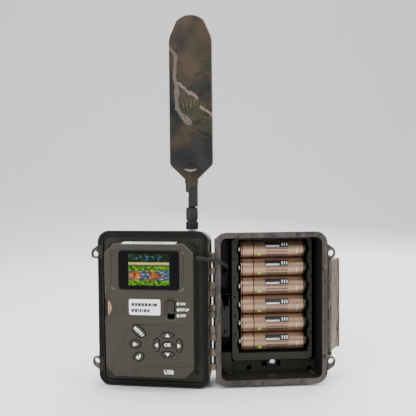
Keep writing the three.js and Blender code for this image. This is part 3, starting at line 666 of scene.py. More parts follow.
def lettering(text, height, centre, y, turn=0.0, thick=0.12):
    """Flat letters facing the viewer, as a closed mesh."""
    curve = bpy.data.curves.new("letters", "FONT")
    curve.body = text
    curve.size = height / 0.7
    curve.extrude = thick / 2
    curve.offset = height * 0.03
    curve.align_x = "CENTER"
    curve.align_y = "CENTER"
    writing = bpy.data.objects.new("letters", curve)
    bpy.context.scene.collection.objects.link(writing)
    bpy.context.view_layer.update()
    mesh = bpy.data.meshes.new_from_object(writing.evaluated_get(bpy.context.evaluated_depsgraph_get()))
    bpy.data.objects.remove(writing)
    bm = bmesh.new()
    bm.from_mesh(mesh)
    bmesh.ops.remove_doubles(bm, verts=bm.verts, dist=0.001)
    place = (Matrix.Translation((centre[0], y, centre[1])) @ Matrix.Rotation(-turn, 4, "Y")
             @ Matrix.Rotation(math.pi / 2, 4, "X"))
    bmesh.ops.transform(bm, matrix=place, verts=bm.verts)
    return bm


def merge(target, *others, material=None):
    """Adds other meshes to the first, as they are."""
    for other in others:
        if material is not None:
            for face in other.faces:
                face.material_index = material
        mesh = bpy.data.meshes.new("part")
        other.to_mesh(mesh)
        other.free()
        target.from_mesh(mesh)
    return target


def mark(corners, y, thick=0.12):
    return solid(lambda bm: slab(bm, corners, (y - thick / 2, y + thick / 2), segments=4))


def left_arrow(x, z, size):
    return [(x - size, z), (x, z + size * 0.75), (x, z - size * 0.75)]


KEY_TOP = FACE - 0.35


def key_symbol(name):
    top = KEY_TOP
    if name == "menu":
        return lettering("MENU", 2.3, (0, 0), top)
    if name == "ok":
        return lettering("OK", 2.3, (0, 0), top)
    if name == "back":
        return mark([(-2.1, -0.2), (-0.3, 1.5), (-0.3, 0.5), (1.3, 0.7), (2.0, 1.7), (2.0, 0.1), (1.2, -0.8),
                     (-0.3, -0.8), (-0.3, -1.9)], top)
    triangle = {"play": [(-1.5, 1.5), (-1.5, -1.5), (1.7, 0)], "up": [(-1.6, -1.0), (1.6, -1.0), (0, 1.4)],
                "down": [(-1.6, 1.0), (1.6, 1.0), (0, -1.4)], "left": [(1.0, 1.6), (1.0, -1.6), (-1.3, 0)],
                "right": [(-1.0, 1.6), (-1.0, -1.6), (1.3, 0)]}
    return mark(triangle[name], top)


def make_key(name, x, z, wide, tall, turn):
    def cap(bm):
        face = circle(bm, (0, 0), wide - 0.75, KEY_TOP, 40, (tall - 0.75) / (wide - 0.75))
        far = face
        for back, out in ((0.06, 0.3), (0.14, 0.22), (0.26, 0.14), (0.4, 0.09), (0.9, 0)):
            far = extrude(bm, far, back, out)
        extrude(bm, far, 1.4)
    bm = merge(solid(cap), key_symbol(name), material=1)
    place = Matrix.Translation((x, 0, z)) @ Matrix.Rotation(-turn, 4, "Y")
    bmesh.ops.transform(bm, matrix=place, verts=bm.verts)
    piece(f"{name}_key_finished", bm, FRONT, name, [key_olive, white_print], f"{name}_key",
          smooth=50)


def make_switch():
    low, high = SWITCH_Z[0] + 4.5, SWITCH_Z[1] - 0.3
    def knob(bm):
        face = outline(bm, rounded((SWITCH_X[0] + 0.35, SWITCH_X[1] - 0.35), (low, high), 1.1), FACE - 0.45,
                       6)
        extrude(bm, face, 3, 0.1)
    shoe = solid(lambda b: cuboid(b, (SWITCH_X[0] - 1, SWITCH_X[1] + 1), (FACE + 2.4, FACE + 4), (low - 1,
                                                                                                  high)))
    ribs = [solid(*[lambda b, i=i: cuboid(b, (-32, -24), (FACE - 1, FACE - 0.15),
                                          (low + 1.6 + 1.25 * i, low + 2.1 + 1.25 * i)) for i in range(5)])]
    bm = combine(combine(solid(knob), [shoe], "UNION"), ribs)
    piece("switch_knob_finished", bm, FRONT, "power_switch", key_olive, "switch_knob", 0.15)


def make_display():
    window = solid(lambda b: slab(b, rounded(DISPLAY_X, DISPLAY_Z, 1.8), (FACE + 0.55, FACE + 1.7)))
    piece("display_window_finished", window, FRONT, "front_case", dark_acrylic, "display_window",
          0.2)
    picture = solid(lambda b: slab(b, [(-59.7, 78.1), (-29.4, 78.1), (-29.4, 101.2), (-59.7, 101.2)],
                                   (FACE + 0.51, FACE + 0.6)))
    piece("lit_picture", picture, FRONT, "front_case", screen, "lcd_panel")


def make_sticker():
    y = UPPER - 0.12
    card = solid(lambda b: slab(b, rounded((-59.5, -36.3), (56.6, 68.0), 1.1), (y, UPPER + 0.05), segments=4))
    words = []
    for z, spans in ((64.1, (2.3, 1.8, 2.2, 2.0, 2.2, 2.3, 0.9, 2.6)), (59.8, (2.0, 2.1, 0.8, 1.5, 0.8, 2.0,
                                                                               1.9))):
        x = -57.8
        for width in spans:
            words.append(mark([(x, z - 1.15), (x + width, z - 1.15), (x + width, z + 1.15), (x, z + 1.15)],
                              y, 0.1))
            x += width + 0.42
    piece("edition_sticker", merge(card, *words, material=1), FRONT, "front_case", [white_label, ink])


def make_module_prints():
    marks = []
    for z, text, width in ((65.2, "ON", 4.4), (60.9, "SETUP", 6.4), (56.6, "OFF", 4.4)):
        marks.append(mark(left_arrow(-22.6, z, 1.9), UPPER - 0.03))
        marks.append(lettering(text, 1.75, (-21.9 + width / 2, z), UPPER - 0.03))
    marks.append(lettering("USB", 2.9, (-30.4, 15.2), FACE + 0.37))
    piece("printed_marks", merge(bmesh.new(), *marks), FRONT, "front_case", white_print)
    slope = math.atan(1.3 / 14)
    strip = solid(lambda b: cuboid(b, (-20, 20), (0.7, 7.5), (-0.02, 0.1)))
    place = Matrix.Translation((-45, FACE, MODULE_Z[1])) @ Matrix.Rotation(slope, 4, "X")
    bmesh.ops.transform(strip, matrix=place, verts=strip.verts)
    dashes = solid(*[lambda b, i=i: cuboid(b, (-13 + 2.9 * i, -11 + 2.9 * i), (2.4, 5.4), (0.02, 0.13))
                     for i in range(9)])
    bmesh.ops.transform(dashes, matrix=place, verts=dashes.verts)
    piece("serial_label", merge(strip, dashes, material=1), FRONT, "front_case", [white_label, ink])


def screen_finish():
    """A countryside picture: trees and sky, a sandy bank, reeds, a pond with brown shapes, grass."""
    f = Finish("lit_picture", Roughness=0.4, Specular_IOR_Level=0.1, Emission_Strength=0.95)
    centre = f.node("ShaderNodeTexCoord")["Object"]
    turn = {"Vector": centre, "Rotation": (0, 0, OVER_OPEN), "Location": (0, 0, 0), "Scale": (1000, 1000,
                                                                                              1000)}
    point = f.node("ShaderNodeMapping", {"vector_type": "POINT"}, turn)["Vector"]
    _, _, z = f.axes(point)
    wobble = f.noise(point, 0.2, 4) - 0.5
    leaves = f.noise(point, 0.32, 5, 0.7)
    height = z + wobble * 2.2
    trees = f.ramp(leaves, [(0.4, (0.001, 0.004, 0.001)), (0.56, (0.012, 0.035, 0.004)), (0.61, (0.05, 0.15,
                                                                                                 0.36)),
                            (0.7, (0.3, 0.5, 0.9))])
    bank = f.mix(leaves, (0.4, 0.27, 0.09), (0.85, 0.68, 0.36))
    reeds = f.ramp(f.noise(point, 0.4, 5, 0.65), [(0.38, (0.004, 0.02, 0.001)), (0.5, (0.04, 0.16, 0.003)),
                                                 (0.62, (0.2, 0.42, 0.012))])
    ripple = f.noise(f.place((0.5, 0.5, 2.2)), 0.6, 4, 0.6)
    water = f.ramp(ripple, [(0.4, (0.01, 0.018, 0.04)), (0.54, (0.06, 0.1, 0.17)), (0.64, (0.32, 0.4, 0.55))])
    shapes = f.noise(f.place((0.6, 0.6, 1.1)), 0.24, 3, 0.6).between(0.49, 0.53)
    herd = f.ramp(leaves, [(0.4, (0.05, 0.012, 0.004)), (0.54, (0.4, 0.11, 0.015)), (0.66, (0.8, 0.4, 0.12))])
    pond = f.mix(shapes, water, herd)
    colour = f.mix(height.between(81.0, 82.6), reeds, pond)
    colour = f.mix(height.between(88.0, 89.6), colour, reeds)
    colour = f.mix(height.between(91.6, 92.4), colour, (0.06, 0.1, 0.02))
    colour = f.mix((height + wobble * -1.6).between(93.0, 93.5), colour, bank)
    colour = f.mix((height + wobble * -1.2).between(94.6, 95.1), colour, trees)
    return f.feed(Base_Color=f.mix(0.9, colour, (0, 0, 0)), Emission_Color=colour)


screen = screen_finish()
white_label = printed("white_label", (0.8, 0.8, 0.78))
ink = printed("dark_ink", (0.012, 0.012, 0.012))


# ---------------------------------------------------------------- outer face of the lens half
FRONT_MID, BACK = -44.45, 34.0
LENS_Z, SENSOR_Z, LAMP_Z = 71, 36, 55
WINDOW_Z = (86, 105)


def spun(profile, centre, axis="Y", sides=48):
    """Turns (radius, distance) points round an axis through centre; both ends lie on the axis."""
    bm = bmesh.new()
    verts = [bm.verts.new((r, 0, h)) for r, h in profile]
    edges = [bm.edges.new(pair) for pair in zip(verts, verts[1:])]
    bmesh.ops.spin(bm, geom=verts + edges, cent=(0, 0, 0), axis=(0, 0, 1), angle=2 * math.pi, steps=sides,
                   use_merge=True)
    bmesh.ops.remove_doubles(bm, verts=bm.verts, dist=0.001)
    turn = {"X": Matrix.Rotation(math.pi / 2, 4, "Y"), "Y": Matrix.Rotation(-math.pi / 2, 4, "X"),
            "Z": Matrix.Identity(4)}[axis]
    bmesh.ops.transform(bm, matrix=Matrix.Translation(centre) @ turn, verts=bm.verts)
    bmesh.ops.recalc_face_normals(bm, faces=bm.faces)
    return bm


def ring_path(profile):
    """Closes a profile that stands off the axis."""
    return [*profile, profile[0]]


def make_optics():
    barrel = ring_path([(6.3, 18), (8.2, 18), (8.4, 18.4), (8.4, 35.2), (8.1, 36.1), (7.5, 36.2), (7.1, 35.4),
                        (6.7, 34.6), (6.7, 34.2), (6.3, 33.9)])
    piece("lens_barrel_finished", spun(barrel, (FRONT_MID, 0, LENS_Z), sides=64), FRONT, "front_case", black,
          "lens_barrel")
    glass = [(0, 32.9), (5.9, 32.9), (6.05, 33.1), (6.05, 33.5), (5.0, 34.0), (3.4, 34.4), (1.7, 34.6), (0,
        34.65)]
    piece("lens_glass_finished", spun(glass, (FRONT_MID, 0, LENS_Z), sides=64), FRONT, "front_case",
          coated_glass,
          "lens_glass")
    dome = [(0, 32.1), (11.6, 32.1), (12, 32.3), (12, 33.2), (11.6, 34.7), (10.6, 36.2), (8.9, 37.6), (6.6,
                                                                                                       38.7),
            (3.8, 39.3), (1.3, 39.55), (0, 39.6)]
    piece("motion_sensor_dome", spun(dome, (FRONT_MID, 0, SENSOR_Z), sides=64), FRONT, "front_case", fresnel,
          "pir_lens")
    lamp = [(0, 31.1), (1.2, 31.1), (1.2, 33.9), (0.9, 34.2), (0.4, 34.3), (0, 34.3)]
    piece("status_lamp_lens", spun(lamp, (FRONT_MID, 0, LAMP_Z), sides=24), FRONT, "front_case", lamp_red,
          "status_lamp")
    pane = solid(lambda b: slab(b, rounded((FRONT_MID - 26.7, FRONT_MID + 26.7), (86.3, 104.7), 3.8), (32.4,
                                                                                                       33.8)))
    piece("infrared_window", pane, FRONT, "front_case", smoked, "ir_window", 0.3)
    board = solid(lambda b: cuboid(b, (FRONT_MID - 26, FRONT_MID + 26), (27.8, 29.3), (87, 104)))
    leds = []
    for row in range(3):
        for i in range(9):
            spot = (FRONT_MID + (i - 4) * 5.8, 0, WINDOW_Z[0] + 4 + row * 5.6)
            leds.append(spun([(0, 29.2), (1.6, 29.2), (1.6, 29.9), (1.35, 29.9), (1.35, 31), (0.9, 31.6),
                              (0, 31.7)],
                             spot, sides=16))
    piece("infrared_emitters", merge(board, *leds, material=1), FRONT, "front_case", [circuit_green, emitter],
          "emitter_board")


def screw_head(spot, reach, radius=1.9):
    """A pan head with a cross recess, its top towards the viewer, and its shank behind it."""
    x, y, z = spot
    head = spun([(0, y - 0.9), (radius * 0.62, y - 0.85), (radius * 0.9, y - 0.6), (radius, y - 0.15),
                 (radius, y + 0.3),
                 (1.05, y + 0.3), (1.05, y + reach - 0.7), (0.4, y + reach), (0, y + reach)], (x, 0, z),
                 sides=24)
    cross = [solid(lambda b: cuboid(b, (x - radius * 0.55, x + radius * 0.55), (y - 2, y - 0.35), (z - 0.24,
        z + 0.24))),
             solid(lambda b: cuboid(b, (x - 0.24, x + 0.24), (y - 2, y - 0.35), (z - radius * 0.55,
                                                                                 z + radius * 0.55)))]
    return combine(head, cross)


def make_module_screws():
    for i, (x, z) in enumerate(BOSSES, 1):
        piece(f"module_screw_{i}_finished", screw_head((x, 1.2, z), 7.5), FRONT, "front_case", black,
              f"module_screw_{i}")


def make_usb_and_card():
    low, high = 10.4, 18.4
    shell = solid(lambda b: cuboid(b, (USB_X - 3.9, USB_X + 3.9), (USB_Y - 1.9, USB_Y + 1.9), (low, high)))
    shell = combine(shell, [solid(lambda b: cuboid(b, (USB_X - 3.4, USB_X + 3.4), (USB_Y - 1.4,
                                                                                   USB_Y + 1.4), (9, 16)))])
    tongue = solid(lambda b: cuboid(b, (USB_X - 2.6, USB_X + 2.6), (USB_Y - 0.4, USB_Y + 0.4), (11, 16.2)))
    piece("usb_port_finished", merge(shell, tongue, material=1), FRONT, "front_case", [nickel, black],
          "usb_port",
          0.15)
    corners = [(-77.5, 48.2, 0.6), (-45.5, 48.2, 0.6), (-45.5, 68.2, 0.4), (-49.5, 72.2, 0.4), (-77.5, 72.2,
                                                                                                0.6)]
    card = solid(lambda b: slab(b, corners, (-6, -3.9)))
    contacts = solid(*[lambda b, i=i: cuboid(b, (-50.3, -46.3), (-6.04, -5.9), (50 + 2.5 * i, 51.7 + 2.5 * i))
                       for i in range(7)])
    face = solid(lambda b: slab(b, rounded((-77.3, -53), (49.6, 70.6), 0.5), (-6.06, -5.9)))
    piece("memory_card_finished", merge(merge(card, contacts, material=1), face, material=2), FRONT, "card",
          [black, brass, copper_label], "memory_card", 0.12)


# ---------------------------------------------------------------- antenna
ANTENNA_X, ANTENNA_Y, PIN_Z = -17.3, 15, 141
FORK_LOW, NECK_TOP, BLADE_TOP = 134.3, 154.5, 276.6
TONGUE_HALF = 1.3


def antenna_solid(profile, sides=48):
    return spun(profile, (ANTENNA_X, ANTENNA_Y, 0), "Z", sides)


def make_antenna_nut():
    nut = antenna_solid(ring_path([(3.5, 117.3), (4.3, 117.3), (4.7, 117.8), (4.7, 122.5), (4.3, 123), (3.5,
        123)]), 72)
    sides = [f for f in nut.faces if abs(f.normal.z) < 0.1 and f.calc_center_median().z > 118
             and (f.calc_center_median().xy - Vector((ANTENNA_X, ANTENNA_Y))).length > 4.5]
    for face in sides[::2]:
        bmesh.ops.inset_region(nut, faces=[face], thickness=0.04, depth=-0.22, use_boundary=True)
    washer = antenna_solid(ring_path([(3.5, 117.02), (5.4, 117.02), (5.4, 117.25), (3.5, 117.25)]), 48)
    piece("antenna_nut_finished", merge(nut, washer, material=1), FRONT, "front_case", [black, nickel],
          "antenna_nut")


def make_antenna_base():
    barrel = antenna_solid([(0, 123.3), (4.0, 123.3), (4.05, 124.1), (4.5, 124.6), (4.55, 125), (4.55, 131.9),
                            (4.3, 132.1), (4.3, 132.5), (4.55, 132.7), (4.5, 133.2), (4.1, 133.6), (0,
                                                                                                    133.6)])
    tongue = solid(
        lambda b: slab(b, [(ANTENNA_X - 2.6, 133), (ANTENNA_X + 2.6, 133), (ANTENNA_X + 2.6, 143.6, 2.55),
                           (ANTENNA_X - 2.6, 143.6, 2.55)],
                       (ANTENNA_Y - TONGUE_HALF, ANTENNA_Y + TONGUE_HALF)))
    bore = solid(lambda b: rod(b, 1.0, (ANTENNA_X, ANTENNA_Y - 6, PIN_Z), (ANTENNA_X, ANTENNA_Y + 6, PIN_Z),
                               20))
    piece("antenna_base_finished", combine(combine(barrel, [tongue], "UNION"), [bore]), FRONT,
          "antenna_swivel", black,
          "antenna_base", 0.15)
    pin = [(0, -4.45), (0.85, -4.4), (0.9, -4.2), (0.9, 4.2), (0.85, 4.4), (0, 4.45)]
    piece("antenna_pin_finished", spun(pin, (ANTENNA_X, ANTENNA_Y, PIN_Z), "Y", 24), FRONT,
          "antenna_swivel", black,
          "antenna_pin")


def make_blade():
    half, reach = 4, 16.15
    crown = [math.radians(45 + 7.5 * i) for i in range(13)]
    corners = [(-4.65, NECK_TOP - 3), (4.65, NECK_TOP - 3), (4.65, NECK_TOP, 1), (reach, NECK_TOP + 10.9, 2),
               (reach, BLADE_TOP - 17, 3), *[(14.6 * math.cos(a),
                                              BLADE_TOP - 14.6 + 14.6 * math.sin(a)) for a in crown],
               (-reach, BLADE_TOP - 17, 3), (-reach, NECK_TOP + 10.9, 2), (-4.65, NECK_TOP, 1)]
    corners = [(ANTENNA_X + x, z, *rest) for x, z, *rest in corners]

    def plate(bm):
        face = outline(bm, corners, ANTENNA_Y - half, 8)
        shape = face
        for back, out in ((0.25, 0.75), (0.55, 0.5), (0.9, 0.28), (1.3, 0.12), (2.0, 0), (1.3, -0.12), (0.9,
            -0.28),
                          (0.55, -0.5), (0.25, -0.75)):
            shape = extrude(bm, shape, back, out)
    flat = solid(plate)
    centre = Matrix.Translation((ANTENNA_X, 0, 216))
    bmesh.ops.scale(flat, verts=flat.verts, vec=(reach / (reach + 1.65), 1, 61.1 / 62.75),
                    space=centre.inverted())
    neck = antenna_solid([(0, FORK_LOW), (4.45, FORK_LOW), (4.65, FORK_LOW + 0.3), (4.65, 159.5), (4.2,
        161), (0, 163)])
    bm = combine(flat, [neck], "UNION")
    scoop = bmesh.new()
    bmesh.ops.create_uvsphere(scoop, u_segments=40, v_segments=24, radius=1, matrix=Matrix.Translation(
        (ANTENNA_X, ANTENNA_Y - 5.0, 163.6)) @ Matrix.Diagonal((6.2, 2.4, 3.3, 1)))
    gap = (ANTENNA_Y - TONGUE_HALF - 0.3, ANTENNA_Y + TONGUE_HALF + 0.3)
    cuts = [
        scoop,
        solid(lambda b: cuboid(b, (ANTENNA_X - 6, ANTENNA_X + 2.9), gap, (FORK_LOW - 1, PIN_Z + 2.9))),
        solid(lambda b: slab(b, [(ANTENNA_X - 6, FORK_LOW - 1), (ANTENNA_X - 1.6, FORK_LOW - 1),
                                 (ANTENNA_X - 1.6, PIN_Z + 3.4, 1.2), (ANTENNA_X - 6, PIN_Z + 5.6)],
                             (ANTENNA_Y - 6, ANTENNA_Y + 6))),
        solid(lambda b: rod(b, 1.0, (ANTENNA_X, ANTENNA_Y - 6, PIN_Z), (ANTENNA_X, ANTENNA_Y + 6, PIN_Z),
                            20)),
    ]
    bm = combine(bm, cuts)
    select_faces(bm, lambda c, n: c.z < 149.5, 1)
    bmesh.ops.bisect_plane(bm, geom=[*bm.verts, *bm.edges, *bm.faces], plane_co=(0, 0, 149.5), plane_no=(0,
        0, 1))
    select_faces(bm, lambda c, n: c.z < 149.5, 1)
    select_faces(bm, lambda c, n: c.z >= 149.5, 0)
    # the scoop's upward faces where the neck meets the blade get the pale colour: painted highlight
    select_faces(bm, lambda c, n: 159.5 < c.z < 162.4 and n.z > 0.35 and c.y < ANTENNA_Y - 2.4, 2)
    piece("antenna_blade_finished", bm, FRONT, "antenna", [blade_camo, black, scoop_painted_highlight], "antenna_blade")


# ---------------------------------------------------------------- battery half
REAR_BACK = 38.0
RIBS = ((16, 24), (64, 72))
SHELF_Y, SIDE_Y = 22, 17
PLATE_HOLES = ((12.2, 56.8), (12.2, 38.2))
BLOCK_HOLE = (11, 8.8)
TRAY_X, TRAY_Z, TRAY_Y = (16.3, 78), (16.4, 109.6), 16
TRAY_SCREW = (46.9, 15)
CELL_COUNT, CELL_X, CELL_Y, CELL_Z, CELL_PITCH = 6, 23.5, 24.2, 29.6, 14.35
CELL_RADIUS, CELL_BODY = 7.1, 49.2
LATCH_X, LATCH_Y, LATCH_ARM = 89.2, 9, 19.5
FLARE = math.radians(32)
LATCH_Z = (23.4, 92.8)
FOOT_X, INSERT_Y = 44, 28


def cell_heights():
    return [CELL_Z + i * CELL_PITCH for i in range(CELL_COUNT)]


def make_rear_shell():
    bm = bmesh.new()
    face = body_shell(bm, (2, 86.1), (1.8, 115.6), REAR_BACK)
    for thickness, depth in ((RIM_WALL, 0), (0.6, 26), (0.3, 6.4), (3, 3)):
        inset(bm, face, thickness, depth)
    bmesh.ops.recalc_face_normals(bm, faces=bm.faces)
    lugs = ((20.6, 23.1), (93.1, 95.6))
    extras = [solid(lambda b, x=x: slab(b, [(x[0], 22, 2), (x[1], 22, 2), (x[1], 95, 2), (x[0], 95, 2)],
                                        (REAR_BACK - 2, REAR_BACK + 6))) for x in RIBS]
    extras.append(solid(lambda b: cuboid(b, (31, 57), (8, 34), (0, 5))))
    for z in lugs:
        extras.append(solid(lambda b, z=z: rod(b, 2.3, (LATCH_X, LATCH_Y, z[0]), (LATCH_X, LATCH_Y, z[1]),
                                               24)))
        extras.append(solid(lambda b, z=z: cuboid(b, (82, LATCH_X), (LATCH_Y - 2.2, LATCH_Y + 2.2), z)))
    bm = ears_and_knuckles(bm, 1, KNUCKLES["rear"], KNUCKLES["front"], extras)
    inside = [
        solid(lambda b: slab(b, [(14, 4), (83, 4), (83, 12.6), (80.5, 14.6), (14, 14.6)], (SHELF_Y,
                                                                                           REAR_BACK - 1))),
        solid(lambda b: slab(b, [(5, 5), (16, 5), (16, 23, 1.2), (5, 23)], (SIDE_Y, REAR_BACK - 1))),
        solid(lambda b: slab(b, [(5, 70), (14.6, 70, 1), (14.6, 108), (5, 108)], (30, REAR_BACK - 1))),
        *[solid(lambda b, s=s: rod(b, 2.4, (s[0], 20.3, s[1]), (s[0], REAR_BACK - 1, s[1]),
                                   20)) for s in PLATE_HOLES],
        solid(lambda b: cuboid(b, (0.4, 3), (3.0, 3.6), (15.4, 100.6))),
    ]
    bm = combine(bm, inside, "UNION")
    holes = [(30, 9.2, 2), (77.3, 7, 2), (*TRAY_SCREW, 1.2), (*BLOCK_HOLE, 1.2)]
    cuts = [
        solid(*[lambda b, h=h: rod(b, h[2], (h[0], 10, h[1]), (h[0], 31, h[1]), 28) for h in holes],
              *[lambda b, s=s: rod(b, 1.2, (s[0], 15, s[1]), (s[0], 28, s[1]), 16) for s in PLATE_HOLES]),
        solid(lambda b: slab(b, [(39.9, 10.2, 1), (54.3, 10.2, 1), (54.3, 16), (39.9, 16)], (20, 30))),
        solid(*[lambda b, x=x: cuboid(b, (x[0] - 1, x[1] + 1), (38, 42.6), (47, 74)) for x in RIBS]),
        solid(lambda b: rod(b, 1.1, (LATCH_X, LATCH_Y, 18), (LATCH_X, LATCH_Y, 98), 20)),
        solid(lambda b: rod(b, 4.7, (FOOT_X, INSERT_Y, -1), (FOOT_X, INSERT_Y, 8.3), 32)),
    ]
    bm = combine(bm, cuts)

    def is_inside(c, _):
        return 6.3 < c.x < 81.8 and 6.1 < c.z < 111.3 and RIM_Y + 0.02 < c.y < REAR_BACK - 2.2
    select_faces(bm, is_inside, 1)
    # the right inner wall and the hinge guard behind the knuckles get near black: painted shade
    select_faces(bm, lambda c, n: is_inside(c, n) and c.x > 78.2 and c.y > 8, 3)
    select_faces(bm, lambda c, n: c.x < 2.1 and 2.9 < c.y < 3.65, 3)
    select_faces(bm, lambda c, n: abs(c.y - RIM_Y) < 0.02 and n.y < -0.9, 2)
    piece("rear_shell_finished", bm, REAR, "rear_case", [camo, dark_olive_and_painted_shade, rim_camo, painted_shade_black],
          "rear_shell",
          0.4)
    nub = solid(lambda b: slab(b, [(40.9, 5.9, 0.6), (48.9, 5.9, 0.6), (48.3, 7.2, 0.5), (41.5, 7.2, 0.5)],
                               (7, 12)))
    piece("latch_nub", nub, REAR, "rear_case", dark_olive_and_painted_shade, (), 0.2)


def make_tray():
    inner_x = (21.4, 74.6)
    bm = solid(lambda b: slab(b, rounded(TRAY_X, TRAY_Z, 3), (TRAY_Y, 33)))
    tongue = solid(lambda b: slab(b, [(43.4, 11.4, 1), (50.8, 11.4, 1), (50.8, 17), (43.4, 17)], (18, 21.6)))
    bm = combine(bm, [tongue], "UNION")
    troughs = [lambda b, z=z: rod(b, CELL_RADIUS + 0.07, (inner_x[0], CELL_Y, z), (inner_x[1], CELL_Y, z), 40)
               for z in cell_heights()]
    scallops = [lambda b, z=z: disc(b, (27.3, z), 7.1, (TRAY_Y - 1, TRAY_Y + 7), 32) for z in cell_heights()]
    scallops += [lambda b, z=z: disc(b, (69.0, z), 7.1, (TRAY_Y - 1, TRAY_Y + 7), 32) for z in cell_heights()]
    gaps = [lambda b, i=i, x=x: rod(b, 0.6, (x, 12, CELL_Z + (i + 0.5) * CELL_PITCH),
                                    (x, 20, CELL_Z + (i + 0.5) * CELL_PITCH), 16)
            for i in range(CELL_COUNT - 1) for x in (18.6, 76.9)]
    top, low = CELL_Z + 5 * CELL_PITCH + 7.4, CELL_Z - 7.4
    cuts = [
        solid(lambda b: cuboid(b, inner_x, (10, CELL_Y), (low, top))),
        solid(*troughs),
        solid(*scallops),
        solid(*gaps),
        solid(lambda b: rod(b, 2.5, (TRAY_SCREW[0], 15, TRAY_SCREW[1]), (TRAY_SCREW[0], 18, TRAY_SCREW[1]),
                            32)),
        solid(lambda b: rod(b, 1.4, (TRAY_SCREW[0], 15, TRAY_SCREW[1]), (TRAY_SCREW[0], 24, TRAY_SCREW[1]),
                            20)),
    ]
    bm = combine(bm, cuts)
    # the tray's faces behind its front get near black: painted shade in its troughs
    select_faces(bm, lambda c, n: c.y > TRAY_Y + 0.3 and c.z > TRAY_Z[0] + 0.1, 1)
    piece("battery_tray_finished", bm, REAR, "rear_case", [tray_olive, painted_shade_black], "battery_tray",
          0.22)
    screw = spun([(0, 15.6), (1.3, 15.65), (1.9, 15.9), (2.2, 16.4), (2.2, 17.7), (1.1, 17.7), (1.1, 28.6),
                  (0, 29)],
                 (TRAY_SCREW[0], 0, TRAY_SCREW[1]), sides=32)
    x, z = TRAY_SCREW
    cross = [solid(lambda b: cuboid(b, (x - 1.1, x + 1.1), (15, 16.2), (z - 0.25, z + 0.25))),
             solid(lambda b: cuboid(b, (x - 0.25, x + 0.25), (15, 16.2), (z - 1.1, z + 1.1)))]
    piece("tray_screw_finished", combine(screw, cross), REAR, "rear_case", steel, "tray_screw")


def make_cells():
    r, body = CELL_RADIUS, CELL_BODY
    can = [(0, 0), (4.6, 0), (4.9, -0.15), (5.3, 0.1), (r - 0.35, 0.1), (r - 0.05, 0.35), (r, 0.7), (r,
        body - 0.7),
           (r - 0.1, body - 0.3), (r - 0.45, body - 0.05), (5.9, body), (5.6, body - 0.35), (3.4, body - 0.3),
           (3.1, body), (2.7, body + 0.1), (2.6, body + 1.1), (2.3, body + 1.3), (0, body + 1.3)]
    for i, z in enumerate(cell_heights()):
        bm = bmesh.new()
        verts = [bm.verts.new((radius, 0, along)) for radius, along in can]
        edges = [bm.edges.new(pair) for pair in zip(verts, verts[1:])]
        bmesh.ops.spin(bm, geom=verts + edges, cent=(0, 0, 0), axis=(0, 0, 1), angle=2 * math.pi, steps=64,
                       use_merge=True)
        bmesh.ops.remove_doubles(bm, verts=bm.verts, dist=0.001)
        bmesh.ops.recalc_face_normals(bm, faces=bm.faces)
        bmesh.ops.transform(bm, matrix=Matrix.Rotation(-math.pi / 2, 4, "Y"), verts=bm.verts)
        start = random.uniform(-1.3, 1.3)
        uv = bm.loops.layers.uv.new("label")
        for face in bm.faces:
            middle = face.calc_center_median()
            base = math.atan2(middle.z, -middle.y)
            for loop in face.loops:
                p = loop.vert.co
                angle = math.atan2(p.z, -p.y)
                angle += 2 * math.pi * round((base - angle) / (2 * math.pi))
                loop[uv].uv = ((p.x + body) / body, angle * r + start)
            ring = math.hypot(middle.y, middle.z)
            if ring < 5.5 and middle.x < -body / 2:
                face.material_index = 1 if ring < 3.2 else 2
            elif ring < 5.2:
                face.material_index = 1
        bmesh.ops.transform(bm, matrix=Matrix.Translation((CELL_X + body, CELL_Y, z)), verts=bm.verts)
        piece(f"battery_{i + 1}_finished", bm, REAR, "rear_case", [cell_print, nickel, black],
              f"battery_{i + 1}",
              smooth=40)


def make_contacts():
    plates = solid(*[lambda b, z=z: cuboid(b, (20.7, 21.05), (23.2, 27.4), (z - 2.6, z + 2.6))
                     for z in cell_heights()])
    piece("contact_plates_positive", plates, REAR, "rear_case", nickel, "contact_strip_positive",
          0.12)
    coils = []
    for z in cell_heights():
        bm = bmesh.new()
        bmesh.ops.create_circle(bm, segments=8, radius=0.28, matrix=Matrix.Translation((3.2, 0, 0))
                                @ Matrix.Rotation(math.pi / 2, 4, "X"))
        bmesh.ops.contextual_create(bm, geom=bm.edges)
        bmesh.ops.spin(bm, geom=[*bm.verts, *bm.edges, *bm.faces], cent=(0, 0, 0), axis=(0, 0, 1),
                                   dvec=(-0.012, 0, 0.026), angle=math.radians(960), steps=64)
        bmesh.ops.recalc_face_normals(bm, faces=bm.faces)
        turn = Matrix.Translation((72.9, CELL_Y, z)) @ Matrix.Rotation(math.pi / 2, 4, "Y")
        bmesh.ops.transform(bm, matrix=turn, verts=bm.verts)
        coils.append(bm)
    backing = solid(*[lambda b, z=z: cuboid(b, (74.5, 74.9), (23.2, 27.4), (z - 2.6, z + 2.6))
                      for z in cell_heights()])
    piece("contact_springs_negative", merge(backing, *coils), REAR, "rear_case", nickel,
          "contact_strip_negative")


def make_side_column():
    cover = solid(lambda b: slab(b, [(8, 34.6, 0.8), (14.9, 34.6, 0.8), (14.9, 67.4, 0.8), (8, 67.4, 0.8)],
                                 (18, 20)))
    cover = combine(cover, [solid(*[lambda b, s=s: rod(b, 1.5, (s[0], 15, s[1]), (s[0], 22, s[1]), 20)
                                    for s in PLATE_HOLES])])
    piece("conduit_cover_finished", cover, REAR, "rear_case", tray_olive, "conduit_cover",
          0.25)
    for name, (x, z) in zip(("upper", "lower"), PLATE_HOLES):
        piece(f"conduit_screw_{name}_finished", screw_head((x, 17.7, z), 6, 1.9), REAR, "rear_case", black,
              f"conduit_screw_{name}")
    piece("block_screw_finished", screw_head((BLOCK_HOLE[0], 16.7, BLOCK_HOLE[1]), 6, 1.9), REAR,
          "rear_case", black,
          "block_screw")


